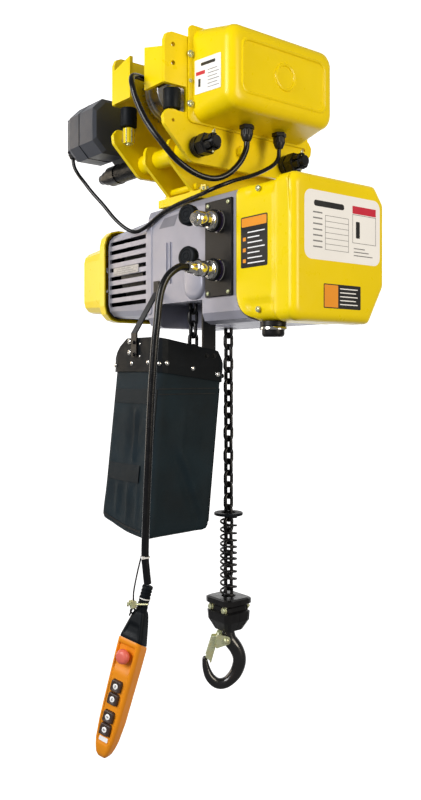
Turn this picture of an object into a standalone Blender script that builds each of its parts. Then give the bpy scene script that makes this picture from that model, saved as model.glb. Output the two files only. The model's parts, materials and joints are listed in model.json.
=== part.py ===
"""Electric chain hoist hanging from a motorised beam trolley.

Constants are in millimetres, the scene is in metres.  X is the motor's axis, Y runs along the beam and
Z is up.  The origin lies on the running surface of the beam's lower flange, above the load chain, which
hangs at X = 0, Y = 0.
"""
import math

import bmesh
import bpy
from mathutils import Matrix, Vector

MM = 0.001
GAP = 0.4                      # clearance between neighbouring pieces

# Trolley
TROLLEY_Y = -34                # middle of the trolley along the beam
PLATE_IN = 72                  # inner face of a side plate
PLATE_OUT = 80                 # outer face of a side plate
SHAFT_SPREAD = 100             # cross shafts, each side of the trolley's middle
SHAFT_Z = -82
SHAFT_R = 11.5
SHAFT_HOLE_R = 12.1
WHEEL_SPREAD = 62.5
WHEEL_R = 45                   # tread
WHEEL_Z = WHEEL_R
WHEEL_TEETH = 27
DRIVE_TEETH = 9
TROLLEY_MODULE = 2 * WHEEL_SPREAD / (WHEEL_TEETH + DRIVE_TEETH)
ROLLER_X = 65                  # guide rollers run on the edges of a 100 mm flange
ROLLER_SPREAD = 141
ROLLER_R = 14.6
BOX_BOTTOM = -42
BOX_TOP = 115
BOX_FRONT = -146
BOX_BACK = 113

# Hoist body
BODY_FRONT = -120
BODY_BACK = 80
BODY_TOP = -160
BODY_BOTTOM = -375
CASING_LEFT = -88
SEAM_X = 163
FAN_SEAM_X = -236
COVER_RIGHT = 297
SEAM_R = 52                    # rounded lower corner of the control cover
SHEAVE_R = 40.7                # pitch radius of a six-pocket sheave for 21 mm links
MOTOR_Y = -SHEAVE_R
MOTOR_Z = -268
HOIST_MODULE = 2.75
GEAR_TEETH = 30
PINION_TEETH = 10
PINION_Z = MOTOR_Z + HOIST_MODULE * (GEAR_TEETH + PINION_TEETH) / 2

# Chain
LINK_PITCH = 21
LINK_WIDTH = 21.6
LINK_WIRE = 6.4
SLACK_Y = -2 * SHEAVE_R
LOAD_TOP = -298
LOAD_LINKS = 27
SLACK_TOP = -258
SLACK_LINKS = 15

# Hook block and hook
STOP_TOP = -712
STOP_BOTTOM = -717
SPRING_BOTTOM = -864
SPRING_TURNS = 11
SPRING_R = 14.4
SPRING_WIRE = 1.9
BLOCK_TOP = -865
BLOCK_BOTTOM = -925
HOOK_TURN = math.radians(51.5)  # the way the hook is swivelled at rest
LATCH_PIN = (-4, -943)          # across the hook, and height

# Chain bag
BAG_LOW_X = -100
BAG_HIGH_X = 40
BAG_LOW_Y = -183
BAG_HIGH_Y = -42
BAG_TOP = -446
BAG_BOTTOM = -733
BAG_LEAN = (-25, -14)           # how far the bottom hangs off to the side

# Pendant
PENDANT_TOP = (107, -250.7, -785)
PENDANT_LEAN = math.radians(14.6)
PENDANT_LEAN_DIRECTION = math.radians(-128.5)
PENDANT_FACE_DIRECTION = math.radians(-68)
BUTTON_HEIGHTS = (-157.5, -177.5, -205.5, -225.5)
STOP_BUTTON_HEIGHT = -110

YELLOW = ("paint_yellow", (0.95, 0.66, 0.0), 0.35, 0.0)
GREY = ("cast_grey", (0.42, 0.42, 0.48), 0.45, 0.3)
DARK = ("motor_slate", (0.045, 0.05, 0.065), 0.5, 0.1)
BLACK = ("black_oxide", (0.015, 0.015, 0.017), 0.4, 0.4)
PLASTIC = ("black_plastic", (0.02, 0.02, 0.022), 0.5, 0.0)
RUBBER = ("black_rubber", (0.018, 0.018, 0.02), 0.7, 0.0)
NICKEL = ("nickel", (0.75, 0.72, 0.66), 0.2, 1.0)
ZINC = ("zinc_yellow", (0.7, 0.62, 0.32), 0.3, 1.0)
STEEL = ("bright_steel", (0.5, 0.5, 0.52), 0.35, 1.0)
LAMINATED = ("laminated_steel", (0.09, 0.085, 0.08), 0.5, 0.8)
BAG_CLOTH = ("bag_cloth", (0.008, 0.014, 0.02), 0.9, 0.0)
PENDANT_ORANGE = ("pendant_orange", (0.95, 0.38, 0.01), 0.4, 0.0)
STOP_RED = ("stop_red", (0.75, 0.08, 0.06), 0.4, 0.0)

# Routes of the cables, from the piece they leave to the piece they reach
PENDANT_CABLE = [
    (126, -190.8, -290), (126, -203, -290.6), (126, -216, -297.5), (125.5, -227.5, -308),
    (125, -236.5, -324), (124.5, -242, -346), (123.5, -244.8, -375), (120, -247.8, -420),
    (114.5, -250.2, -500), (110.5, -252.2, -590), (106.8, -254, -680), (105, -254.8, -735),
    (105.9, -253.2, -762), (106.8, -251.2, -782.4),
]
LIMIT_CABLE = [
    (118, -58, -69), (118, -60, -82), (116, -72, -105), (111, -93, -126), (105, -118, -136),
    (99, -150, -132), (92, -185, -113), (78, -208, -82), (60, -222, -50), (46, -231, -16),
    (38, -234, 10), (27, -228, 28), (17, -213, 36), (11, -198, 38), (11.5, -187, 38),
    (16.5, -183.2, 38), (23, -183, 38),
]
MOTOR_CABLE = [
    (-231.5, -192, -40.2), (-232, -192.6, -52), (-228, -191.5, -66), (-218, -188.5, -81),
    (-203, -186, -96), (-186, -178, -118), (-166, -166, -143), (-147, -153, -170), (-128, -141, -189),
    (-109, -133, -197.5), (-90, -128, -194), (-70, -125.2, -186), (-50, -124.6, -178),
    (-25, -123.6, -170.5), (5, -122.8, -165), (38, -122, -161), (75, -122.5, -158), (100, -121, -154),
    (113, -108, -147), (118, -84, -136.5), (119, -54, -126), (119, -24, -113), (118.5, 2, -98),
    (118, 14, -84), (118, 16, -69),
]
STRAIN_WIRE = [
    (97.6, -257, -741), (98, -264.5, -765), (100.9, -273, -792), (102.3, -275, -812),
    (94.2, -276.5, -829.5),
]
CLAMP = (102.3, -275, -811)

parts = None
cutters = None


# ---------------------------------------------------------------- helpers
def clear_scene():
    for obj in list(bpy.data.objects):
        bpy.data.objects.remove(obj, do_unlink=True)


def new_collection(name):
    found = bpy.data.collections.new(name)
    bpy.context.scene.collection.children.link(found)
    return found


def material(spec):
    name, colour, roughness, metallic = spec
    found = bpy.data.materials.get(name)
    if found is None:
        found = bpy.data.materials.new(name)
        found.use_nodes = True
        shader = found.node_tree.nodes["Principled BSDF"]
        shader.inputs["Base Color"].default_value = (*colour, 1.0)
        shader.inputs["Roughness"].default_value = roughness
        shader.inputs["Metallic"].default_value = metallic
        found.diffuse_color = (*colour, 1.0)
    return found


def place(name, mesh, spec):
    obj = bpy.data.objects.new(name, mesh)
    mesh.materials.clear()
    mesh.materials.append(material(spec))
    parts.objects.link(obj)
    return obj


def from_bmesh(name, bm, spec, smooth=True):
    bmesh.ops.recalc_face_normals(bm, faces=bm.faces[:])
    bmesh.ops.scale(bm, vec=(MM, MM, MM), verts=bm.verts[:])
    mesh = bpy.data.meshes.new(name)
    bm.to_mesh(mesh)
    bm.free()
    if smooth:
        mesh.shade_smooth()
        mesh.set_sharp_from_angle(angle=math.radians(35))
    return place(name, mesh, spec)


def block(name, low, high, spec, bevel=0.0):
    bm = bmesh.new()
    bmesh.ops.create_cube(bm, size=1)
    size = [h - l for l, h in zip(low, high)]
    middle = [(h + l) / 2 for l, h in zip(low, high)]
    bmesh.ops.scale(bm, vec=size, verts=bm.verts[:])
    bmesh.ops.translate(bm, vec=middle, verts=bm.verts[:])
    if bevel:
        bmesh.ops.bevel(bm, geom=bm.edges[:], offset=bevel, segments=1, affect="EDGES")
    return from_bmesh(name, bm, spec)


def rod(name, start, end, radius, spec, sides=16):
    start = Vector(start)
    end = Vector(end)
    bm = bmesh.new()
    bmesh.ops.create_cone(bm, cap_ends=True, segments=sides, radius1=radius, radius2=radius,
                          depth=(end - start).length)
    turn = (end - start).to_track_quat("Z", "Y").to_matrix().to_4x4()
    bmesh.ops.transform(bm, matrix=Matrix.Translation((start + end) / 2) @ turn, verts=bm.verts[:])
    return from_bmesh(name, bm, spec)


def turned(name, profile, origin, axis, spec, steps=24, ring=False):
    """Turn a profile of (radius, height along the axis) points; a ring's profile closes on itself."""
    points = [(radius * MM, 0, height * MM) for radius, height in profile]
    around = sum(a[0] * b[1] - b[0] * a[1] for a, b in zip(profile, profile[1:] + profile[:1]))
    if around > 0:
        points.reverse()
    edges = [(i, i + 1) for i in range(len(points) - 1)]
    if ring:
        edges.append((len(points) - 1, 0))
    mesh = bpy.data.meshes.new(name)
    mesh.from_pydata(points, edges, [])
    obj = place(name, mesh, spec)
    obj.location = Vector(origin) * MM
    obj.rotation_mode = "QUATERNION"
    obj.rotation_quaternion = Vector(axis).to_track_quat("Z", "Y")
    screw = obj.modifiers.new("turn", "SCREW")
    screw.steps = steps
    screw.render_steps = steps
    screw.use_merge_vertices = True
    screw.merge_threshold = 0.00001
    screw.use_smooth_shade = False
    return obj


def curve_to_mesh(obj, spec):
    """Replace a curve object by its welded mesh."""
    name = obj.name
    depsgraph = bpy.context.evaluated_depsgraph_get()
    mesh = bpy.data.meshes.new_from_object(obj.evaluated_get(depsgraph))
    mesh.transform(obj.matrix_world)
    bpy.data.objects.remove(obj, do_unlink=True)
    bm = bmesh.new()
    bm.from_mesh(mesh)
    bmesh.ops.remove_doubles(bm, verts=bm.verts[:], dist=0.00001)
    bmesh.ops.recalc_face_normals(bm, faces=bm.faces[:])
    bm.to_mesh(mesh)
    bm.free()
    mesh.shade_smooth()
    mesh.set_sharp_from_angle(angle=math.radians(35))
    return place(name, mesh, spec)


def cut_sheet(name, outlines, low, high, axis, spec):
    """A flat outline, with any holes after it, between two planes across the axis X, Y or Z.

    Outlines are (Y, Z) points across X, (X, Z) across Y and (X, Y) across Z.
    """
    curve = bpy.data.curves.new(name, "CURVE")
    curve.dimensions = "2D"
    curve.fill_mode = "BOTH"
    curve.extrude = (high - low) / 2 * MM
    for outline in outlines:
        spline = curve.splines.new("POLY")
        spline.points.add(len(outline) - 1)
        for point, (a, b) in zip(spline.points, outline):
            point.co = (a * MM, b * MM, 0, 1)
        spline.use_cyclic_u = True
    obj = bpy.data.objects.new(name, curve)
    parts.objects.link(obj)
    turns = {
        "X": Matrix(((0, 0, 1), (1, 0, 0), (0, 1, 0))),
        "Y": Matrix(((1, 0, 0), (0, 0, -1), (0, 1, 0))),
        "Z": Matrix.Identity(3),
    }
    middle = Vector([(high + low) / 2 * MM if axis == letter else 0 for letter in "XYZ"])
    obj.matrix_world = Matrix.Translation(middle) @ turns[axis].to_4x4()
    bpy.context.view_layer.update()
    return curve_to_mesh(obj, spec)


def tube(name, points, radius, spec, resolution=2, radii=None):
    curve = bpy.data.curves.new(name, "CURVE")
    curve.dimensions = "3D"
    curve.bevel_depth = radius * MM
    curve.bevel_resolution = resolution
    curve.use_fill_caps = True
    spline = curve.splines.new("POLY")
    spline.points.add(len(points) - 1)
    for i, (point, place_at) in enumerate(zip(spline.points, points)):
        point.co = (*(Vector(place_at) * MM), 1)
        point.radius = radii[i] / radius if radii else 1
    obj = bpy.data.objects.new(name, curve)
    parts.objects.link(obj)
    bpy.context.view_layer.update()
    return curve_to_mesh(obj, spec)


def smooth_route(points, spacing):
    """Points every spacing or so along a smooth curve through the route's own points."""
    route = [Vector(p) for p in points]
    route = [2 * route[0] - route[1], *route, 2 * route[-1] - route[-2]]
    made = []
    for a, b, c, d in zip(route, route[1:], route[2:], route[3:]):
        count = max(1, round((c - b).length / spacing))
        for i in range(count):
            t = i / count
            made.append(0.5 * (2 * b + (c - a) * t + (2 * a - 5 * b + 4 * c - d) * t ** 2
                               + (3 * b - a - 3 * c + d) * t ** 3))
    made.append(route[-2])
    return made


def loft(name, sections, spec, closed=False):
    """Skin a row of sections with equal counts; the ends are capped unless the row is closed."""
    bm = bmesh.new()
    rings = [[bm.verts.new(p) for p in section] for section in sections]
    pairs = list(zip(rings, rings[1:]))
    if closed:
        pairs.append((rings[-1], rings[0]))
    for one, two in pairs:
        for i in range(len(one)):
            j = (i + 1) % len(one)
            bm.faces.new((one[i], one[j], two[j], two[i]))
    if not closed:
        bm.faces.new(rings[0])
        bm.faces.new(rings[-1])
    return from_bmesh(name, bm, spec)


def arc(centre, radius, start, end, count):
    made = []
    for i in range(count + 1):
        angle = math.radians(start + (end - start) * i / count)
        made.append((centre[0] + radius * math.cos(angle), centre[1] + radius * math.sin(angle)))
    return made


def rounded(corners, count=3):
    """An outline from (a, b, radius) corners, each rounded by an arc; a radius of 0 stays sharp."""
    made = []
    total = len(corners)
    for i, (a, b, radius) in enumerate(corners):
        here = Vector((a, b))
        if radius == 0:
            made.append((a, b))
            continue
        before = (Vector(corners[i - 1][:2]) - here).normalized()
        after = (Vector(corners[(i + 1) % total][:2]) - here).normalized()
        half = before.angle(after) / 2
        reach = radius / math.tan(half)
        centre = here + (before + after).normalized() * radius / math.sin(half)
        start = here + before * reach - centre
        turn = start.angle_signed(here + after * reach - centre)
        for step in range(count + 1):
            point = centre + Matrix.Rotation(-turn * step / count, 2) @ start
            made.append(tuple(point))
    return made


def rectangle(a0, a1, b0, b1, radius, count=3):
    return rounded([(a0, b0, radius), (a1, b0, radius), (a1, b1, radius), (a0, b1, radius)], count)


def across_x(x, outline):
    return [(x, a, b) for a, b in outline]


def across_z(z, outline):
    return [(a, b, z) for a, b in outline]


def circle(centre, radius, count=16):
    return arc(centre, radius, 0, 360 - 360 / count, count - 1)


def gear_outline(centre, teeth, module, phase):
    """Straight-sided teeth, thin enough to turn in mesh with some backlash."""
    made = []
    pitch = 2 * math.pi / teeth
    root = module * (teeth / 2 - 0.95)
    tip = module * (teeth / 2 + 0.75)
    for tooth in range(teeth):
        middle = phase + tooth * pitch
        for radius, share in ((root, -0.26), (tip, -0.09), (tip, 0.09), (root, 0.26)):
            angle = middle + share * pitch
            made.append((centre[0] + radius * math.cos(angle), centre[1] + radius * math.sin(angle)))
    return made


def as_tool(obj):
    parts.objects.unlink(obj)
    cutters.objects.link(obj)
    obj.hide_render = True
    obj.display_type = "WIRE"


def combine(obj, tool, operation):
    modifier = obj.modifiers.new(operation.lower(), "BOOLEAN")
    modifier.operation = operation
    modifier.object = tool
    as_tool(tool)


def cut(obj, *tools):
    for tool in tools:
        combine(obj, tool, "DIFFERENCE")


def join(obj, *tools):
    for tool in tools:
        combine(obj, tool, "UNION")


def set_origin(obj, point):
    """Move an object's origin without moving its mesh in the world."""
    shift = Vector(point) * MM - obj.location
    obj.data.transform(Matrix.Translation(-shift))
    obj.location = Vector(point) * MM


def empty(name, matrix):
    obj = bpy.data.objects.new(name, None)
    parts.objects.link(obj)
    obj.matrix_world = matrix
    return obj


def hang(parent, *objects):
    for obj in objects:
        obj.parent = parent


# ---------------------------------------------------------------- trolley
def mirrored(points, side):
    return [(side * p[0], *p[1:]) for p in points]


def side_plate(name, side):
    """Plate with its rail guards, pressed-in wheel axles and guide roller pins; side is +1 or -1."""
    half = [(112, -108, 14), (166, -54, 8), (168, -40, 6), (160, -29, 4), (122, -29, 3), (122, 13, 3),
            (166, 13, 3), (166, 97, 14)]
    right = [(TROLLEY_Y + d, z, r) for d, z, r in half]
    left = [(TROLLEY_Y - d, z, r) for d, z, r in reversed(half)]
    outline = rounded(right + left, 2)
    holes = []
    for way in (-1, 1):
        holes.append(circle((TROLLEY_Y + way * SHAFT_SPREAD, SHAFT_Z), SHAFT_HOLE_R, 16))
        for z, radius in ((77, 4), (47, 4), (-46, 3)):
            holes.append(circle((TROLLEY_Y + way * 149, z), radius, 8))
    if side < 0:
        holes.append(circle((TROLLEY_Y, WHEEL_Z), 9, 12))
    low, high = sorted((side * PLATE_IN, side * PLATE_OUT))
    plate = cut_sheet(name, [outline, *holes], low, high, "X", YELLOW)
    for way in (-1, 1):
        wheel_y = TROLLEY_Y + way * WHEEL_SPREAD
        axle = turned(f"{name}_axle_{way}", [(0, 12), (13, 12), (13, 5), (10, 5), (10, -52), (0, -52)],
                      (side * (PLATE_IN + 0.5), wheel_y, WHEEL_Z), (side, 0, 0), YELLOW, 12)
        guard_y = sorted((TROLLEY_Y + way * 160.3, TROLLEY_Y + way * 166.4))
        guard_outline = mirrored([(22, 14), (PLATE_IN + 3, 14), (PLATE_IN + 3, 72), (22, 85)], side)
        guard = cut_sheet(f"{name}_guard_{way}", [guard_outline], *guard_y, "Y", YELLOW)
        roller_y = TROLLEY_Y + way * ROLLER_SPREAD
        pin = turned(f"{name}_pin_{way}",
                     [(0, 12.2), (8.5, 12.2), (8.5, 10.5), (6, 10.5), (6, -26), (10, -26), (10, -52), (0, -52)],
                     (side * ROLLER_X, roller_y, 0), (0, 0, 1), YELLOW, 12)
        join(plate, axle, guard, pin)
    if side > 0:
        join(plate, rod(f"{name}_stop_bolt", (PLATE_IN + 4, TROLLEY_Y - 4, -75),
                        (PLATE_OUT + 12, TROLLEY_Y - 4, -75), 11, YELLOW, 6))
    return plate


def cross_shaft(name, y):
    """Shaft with its far stack of washers and castle nut; the near end is threaded."""
    profile = [(0, 133), (9.5, 133), (9.5, PLATE_OUT + 0.5), (SHAFT_R, PLATE_OUT), (SHAFT_R, -PLATE_OUT - 0.6)]
    for i in range(4):
        start = -PLATE_OUT - 0.6 - i * 19
        profile += [(17, start), (17, start - 15), (15, start - 15), (15, start - 19)]
    profile += [(18, -157), (18, -186), (13, -189), (13, -204), (9.5, -204), (9.5, -222), (0, -222)]
    return turned(name, profile, (0, y, SHAFT_Z), (1, 0, 0), BLACK, 14)


def castle_nut(name, y):
    """Stack of washers and a castle nut on the near end of a cross shaft."""
    start = PLATE_OUT + 0.6
    bore = 10.5
    nut = turned(name, [(bore, start + 46), (13.5, start + 46), (13.5, start + 34), (18, start + 32),
                        (18, start + 13), (16, start + 12), (17.5, start + 10), (17.5, start),
                        (bore, start)], (0, y, SHAFT_Z), (1, 0, 0), BLACK, 12, ring=True)
    for i in range(3):
        slot = block(f"{name}_slot_{i}", (start + 38, -2.2, -20), (start + 50, 2.2, 20), BLACK)
        slot.rotation_euler = (math.radians(30 + 60 * i), 0, 0)
        slot.location = (0, y * MM, SHAFT_Z * MM)
        cut(nut, slot)
    return nut


def wheel(name, side, way):
    """Flanged wheel; the far ones carry the ring of teeth that the drive pinion turns."""
    bore = 10.8
    rim = [(40, 66.5), (52, 58)] if side > 0 else [(40, 66.5), (40, 55.5), (52, 55)]
    profile = [(bore, 71.4), (18, 71.4), (18, 66.5), *rim, (52, 51), (WHEEL_R, 49), (WHEEL_R - 1, 26),
               (30, 26), (26, 34), (20, 34), (20, 24), (bore, 24)]
    y = TROLLEY_Y + way * WHEEL_SPREAD
    obj = turned(name, profile, (0, y, WHEEL_Z), (side, 0, 0), STEEL, 16, ring=True)
    if side < 0:
        phase = 0 if way < 0 else math.pi + math.pi / WHEEL_TEETH
        teeth = cut_sheet(f"{name}_teeth",
                          [gear_outline((y, WHEEL_Z), WHEEL_TEETH, TROLLEY_MODULE, phase),
                           circle((y, WHEEL_Z), 30, 12)], -66, -54, "X", STEEL)
        join(obj, teeth)
    return obj


def guide_roller(name, side, way):
    profile = [(6.5, 10), (13, 10), (ROLLER_R, 8), (ROLLER_R, -22), (13, -24), (6.5, -24)]
    return turned(name, profile, (side * ROLLER_X, TROLLEY_Y + way * ROLLER_SPREAD, 0), (0, 0, 1), RUBBER,
                  14, ring=True)


def drive_pinion():
    pinion = cut_sheet("trolley_drive_pinion",
                       [gear_outline((TROLLEY_Y, WHEEL_Z), DRIVE_TEETH, TROLLEY_MODULE,
                                     math.pi + math.pi / DRIVE_TEETH)], -67.5, -57, "X", STEEL)
    set_origin(pinion, (0, TROLLEY_Y, WHEEL_Z))
    join(pinion, rod("trolley_pinion_shaft", (-60, TROLLEY_Y, WHEEL_Z), (-92, TROLLEY_Y, WHEEL_Z), 7, STEEL,
                     12))
    return pinion


def trolley_box():
    """Deep-drawn enclosure with large radii, open towards the side plate."""
    def section(x, inset, radius, drop=0.0):
        return across_x(x, rectangle(BOX_FRONT + inset, BOX_BACK - inset, BOX_BOTTOM + inset + drop,
                                     BOX_TOP - inset - drop, radius))
    back = PLATE_OUT + GAP
    outer = [section(168, 30, 14), section(166.5, 22, 20), section(160, 15, 24), section(150, 10.5, 26),
             section(84, 1, 22), section(83.5, -8, 10, 6), section(back, -8, 10, 6)]
    inner = [section(back, 3.5, 19), section(149, 13.5, 23), section(158, 18, 20), section(163.5, 26, 16)]
    return loft("trolley_control_box", outer + inner, YELLOW)


def cable_gland(name, origin, axis):
    return turned(name, [(0, 0), (13, 0), (13, -7), (10.5, -8), (10.5, -20), (6.5, -27), (0, -27)],
                  origin, [-a for a in axis], PLASTIC, 12)


def trolley_motor():
    """Gear motor: gear case on the side plate, motor body, terminal box and its cable boss."""
    def section(x, inset):
        y0, y1, z0, z1, c = -215 + inset, -128 - inset, -60 + inset, 38 - inset, 20
        return across_x(x, [(y0 + c, z0), (y1 - c, z0), (y1, z0 + c), (y1, z1 - c), (y1 - c, z1),
                            (y0 + c, z1), (y0, z1 - c), (y0, z0 + c)])
    motor = loft("trolley_motor", [section(-118, 6), section(-122, 0), section(-205, 0), section(-222, 5),
                                   section(-225, 9)], DARK)
    body = turned("trolley_motor_body",
                  [(0, -97.5), (50, -97.5), (50, -110), (46, -112), (46, -200), (38, -214), (0, -214)],
                  (0, -90, -20), (1, 0, 0), DARK, 20)
    case_outline = arc((-90, -20), 52, 130, 300, 8) + arc((TROLLEY_Y, WHEEL_Z), 30, -40, 130, 6)
    case = cut_sheet("trolley_gearcase", [case_outline], -99, -PLATE_OUT - 4.8, "X", DARK)
    boss = rod("trolley_cable_boss", (-222, -192, -30), (-237.5, -192, -30), 9.5, DARK, 16)
    join(motor, body, case, boss)
    shaft_room = rod("trolley_shaft_room", (-70, TROLLEY_Y, WHEEL_Z), (-94, TROLLEY_Y, WHEEL_Z), 8, DARK,
                     12)
    rivet_room = rod("trolley_rivet_room", (-70, TROLLEY_Y - WHEEL_SPREAD, WHEEL_Z),
                     (-87, TROLLEY_Y - WHEEL_SPREAD, WHEEL_Z), 15, DARK, 12)
    cut(motor, shaft_room, rivet_room)
    return motor


def build_trolley():
    side_plate("side_plate_near", 1)
    side_plate("side_plate_far", -1)
    for label, way in (("front", -1), ("rear", 1)):
        shaft_y = TROLLEY_Y + way * SHAFT_SPREAD
        cross_shaft(f"cross_shaft_{label}", shaft_y)
        castle_nut(f"castle_nut_{label}", shaft_y)
        for where, side in (("near", 1), ("far", -1)):
            wheel(f"wheel_{where}_{label}", side, way)
            guide_roller(f"guide_roller_{where}_{label}", side, way)
    drive_pinion()
    trolley_box()
    cable_gland("gland_limit_switch", (118, -58, -40.8), (0, 0, -1))
    cable_gland("gland_motor_lead", (118, 16, -40.8), (0, 0, -1))
    trolley_motor()
    block("trolley_limit_switch", (24, -193.6, 22), (60, -172, 54), PLASTIC, 2)


# ---------------------------------------------------------------- hoist body
def suspension_frame():
    """Two cheeks on the cross shafts, welded to the base plate that is bolted on the casing."""
    base_z = BODY_TOP + GAP
    cheek = rounded([(-161.5, -60, 12), (-164, -93, 10), (-111.5, -143, 4), (-111.5, base_z + 4, 0),
                     (43.5, base_z + 4, 0), (43.5, -143, 4), (96, -93, 10), (93.5, -60, 12)], 2)
    holes = [circle((TROLLEY_Y + way * SHAFT_SPREAD, SHAFT_Z), SHAFT_HOLE_R, 16) for way in (-1, 1)]
    frame = block("suspension_frame", (-62, -113, base_z), (62, 45, base_z + 14), YELLOW)
    for x in (-38, 30):
        join(frame, cut_sheet(f"suspension_cheek_{x}", [cheek, *holes], x, x + 8, "X", YELLOW))
    for x in (-51, 51):
        for y in (-95, 28):
            join(frame, rod(f"suspension_bolt_{x}_{y}", (x, y, base_z + 10), (x, y, base_z + 25), 9, YELLOW,
                            6))
    join(frame, rod("suspension_pin", (-45, -104, base_z + 24), (45, -104, base_z + 24), 6, YELLOW, 10))
    return frame


def body_outline(inset):
    """Outline of the hoist body across X: round at the front, chamfered at the back."""
    front, back = BODY_FRONT + inset, BODY_BACK - inset
    bottom, top = BODY_BOTTOM + inset, BODY_TOP - inset
    return rounded([(front, bottom, 18), (back - 34, bottom, 6), (back, bottom + 58, 6), (back, top - 26, 6),
                    (back - 20, top, 6), (front, top, 16)], 2)


def seam_corner(radius):
    """The cover's rounded lower corner across Y; it runs out through the body's underside."""
    centre = (SEAM_X + SEAM_R, BODY_BOTTOM + SEAM_R - 3)
    return arc(centre, radius, 180, 270, 6)


def gear_casing():
    inner_x = SEAM_X - 5
    wall = 6
    right = SEAM_X + SEAM_R - 2
    casing = loft("gear_casing", [across_x(CASING_LEFT, body_outline(3)),
                                  across_x(CASING_LEFT + 4, body_outline(0)),
                                  across_x(right, body_outline(0))], GREY)
    cover_room = cut_sheet("casing_cover_room",
                           [[(SEAM_X + SEAM_R + 9, BODY_BOTTOM - 3), (SEAM_X + SEAM_R + 9, -100),
                             (SEAM_X, -100), *seam_corner(SEAM_R)]], -200, 200, "Y", GREY)
    notch = block("casing_notch", (-60, -200, -500), (76, -46, -334), GREY)
    room = loft("casing_room", [across_x(CASING_LEFT + wall, body_outline(wall)),
                                across_x(inner_x, body_outline(wall))], GREY)
    cut(room, block("casing_notch_wall", (-60 - wall, -200, -500), (76 + wall, -46 + wall, -334 + wall),
                    GREY))
    load_way = block("casing_load_way", (-14, -14, -400), (14, 14, -350), GREY)
    slack_way = block("casing_slack_way", (-14, SLACK_Y - 14, -350), (14, SLACK_Y + 14, -320), GREY)
    shaft_way = rod("casing_shaft_way", (CASING_LEFT - 10, MOTOR_Y, MOTOR_Z),
                    (CASING_LEFT + 12, MOTOR_Y, MOTOR_Z), 20, GREY)
    cable_way = rod("casing_cable_way", (inner_x - 9, -80, -200), (inner_x + 14, -80, -200), 8, GREY, 10)
    cut(casing, cover_room, notch, room, load_way, slack_way, shaft_way, cable_way)
    return casing


def control_cover():
    left = SEAM_X + GAP
    outer = [across_x(COVER_RIGHT, body_outline(9)), across_x(COVER_RIGHT - 3, body_outline(2.5)),
             across_x(COVER_RIGHT - 9, body_outline(-0.6)), across_x(left, body_outline(-0.6))]
    inner = [across_x(left, body_outline(2.6)), across_x(COVER_RIGHT - 5, body_outline(4))]
    cover = loft("control_cover", outer + inner, YELLOW)
    corner = cut_sheet("cover_corner",
                       [[(SEAM_X + SEAM_R, -450), (SEAM_X - 13, -450), (SEAM_X - 13, -340),
                         *seam_corner(SEAM_R - 0.5)]], -200, 200, "Y", YELLOW)
    cut(cover, corner)
    return cover


def motor_casing():
    """Motor housing with a row of cooling slots through its front and back."""
    def section(x, inset):
        share = (CASING_LEFT - x) / 137
        return across_x(x, rectangle(-117 + 5 * share + inset, 77 - 5 * share - inset,
                                     -354 + 5 * share + inset, -171 - 11 * share - inset, 26 - inset))
    left = FAN_SEAM_X
    right = CASING_LEFT - GAP
    casing = loft("motor_casing", [section(right, 3), section(right - 4, 0), section(left, 0),
                                   section(left, 4), section(right - 5, 4)], GREY)
    for i in range(8):
        z = -205 - 17 * i
        cut(casing, block(f"motor_slot_{i}", (FAN_SEAM_X + 6, -150, z - 4), (-97, 120, z + 4), GREY))
    cut(casing, rod("motor_shaft_way", (right + 5, MOTOR_Y, MOTOR_Z), (right - 12, MOTOR_Y, MOTOR_Z), 20,
                    GREY))
    return casing


def fan_cover():
    right = FAN_SEAM_X - GAP

    def flange(x, inset):
        return across_x(x, rectangle(-121 + inset, 81 - inset, -357 + inset, -174 - inset, 32 - inset))

    def cap(x, inset):
        return across_x(x, rectangle(-104 + inset, 64 - inset, -341 + inset, -195 - inset, 32 - inset))
    outer = [cap(-364, 14), cap(-361, 9), cap(-273, 1), cap(-263, -1), flange(-260, 8), flange(-256, 1),
             flange(right, 0)]
    inner = [flange(right, 3), flange(-254, 4), cap(-262, 3), cap(-358, 12)]
    cover = loft("fan_cover", outer + inner, YELLOW)
    for i in range(7):
        y = -62 + 14 * i
        cut(cover, block(f"fan_slot_{i}", (-378, y - 3, -310), (-353, y + 3, -226), YELLOW))
    return cover


def stator():
    """Stack of laminations with a clear bore for the rotor."""
    return turned("motor_stator", [(40.5, -120), (68, -120), (68, -195), (40.5, -195)],
                  (0, MOTOR_Y, MOTOR_Z), (1, 0, 0), LAMINATED, 24, ring=True)


def rotor():
    """Rotor on its shaft, with the cooling fan on the shaft's end."""
    shaft = turned("motor_rotor", [(0, -36), (8, -36), (8, -118), (39.5, -118), (39.5, -197), (8, -197),
                                   (8, -280), (18, -280), (18, -304), (8, -304), (8, -318), (0, -318)],
                   (0, MOTOR_Y, MOTOR_Z), (1, 0, 0), STEEL, 16)
    for i in range(6):
        blade = block(f"fan_blade_{i}", (-302, -1.2, 14), (-282, 1.2, 52), STEEL)
        blade.rotation_euler = (math.radians(60 * i), 0, 0)
        blade.location = (0, MOTOR_Y * MM, MOTOR_Z * MM)
        join(shaft, blade)
    return shaft


def load_sheave():
    """Sheave with a groove for the upright links, on its shaft with the drive gear."""
    profile = [(0, 75), (13, 75), (13, 20), (52, 20), (52, 15), (37, 12.6), (37, 4.5), (28, 4.4),
               (28, -4.4), (37, -4.5), (37, -12.6), (52, -15), (52, -20), (13, -20), (13, -30), (0, -30)]
    sheave = turned("load_sheave", profile, (0, MOTOR_Y, MOTOR_Z), (1, 0, 0), STEEL, 16)
    gear = cut_sheet("drive_gear",
                     [gear_outline((MOTOR_Y, MOTOR_Z), GEAR_TEETH, HOIST_MODULE, math.pi / 2),
                      circle((MOTOR_Y, MOTOR_Z), 11, 12)], 46, 60, "X", STEEL)
    join(sheave, gear)
    return sheave


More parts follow.
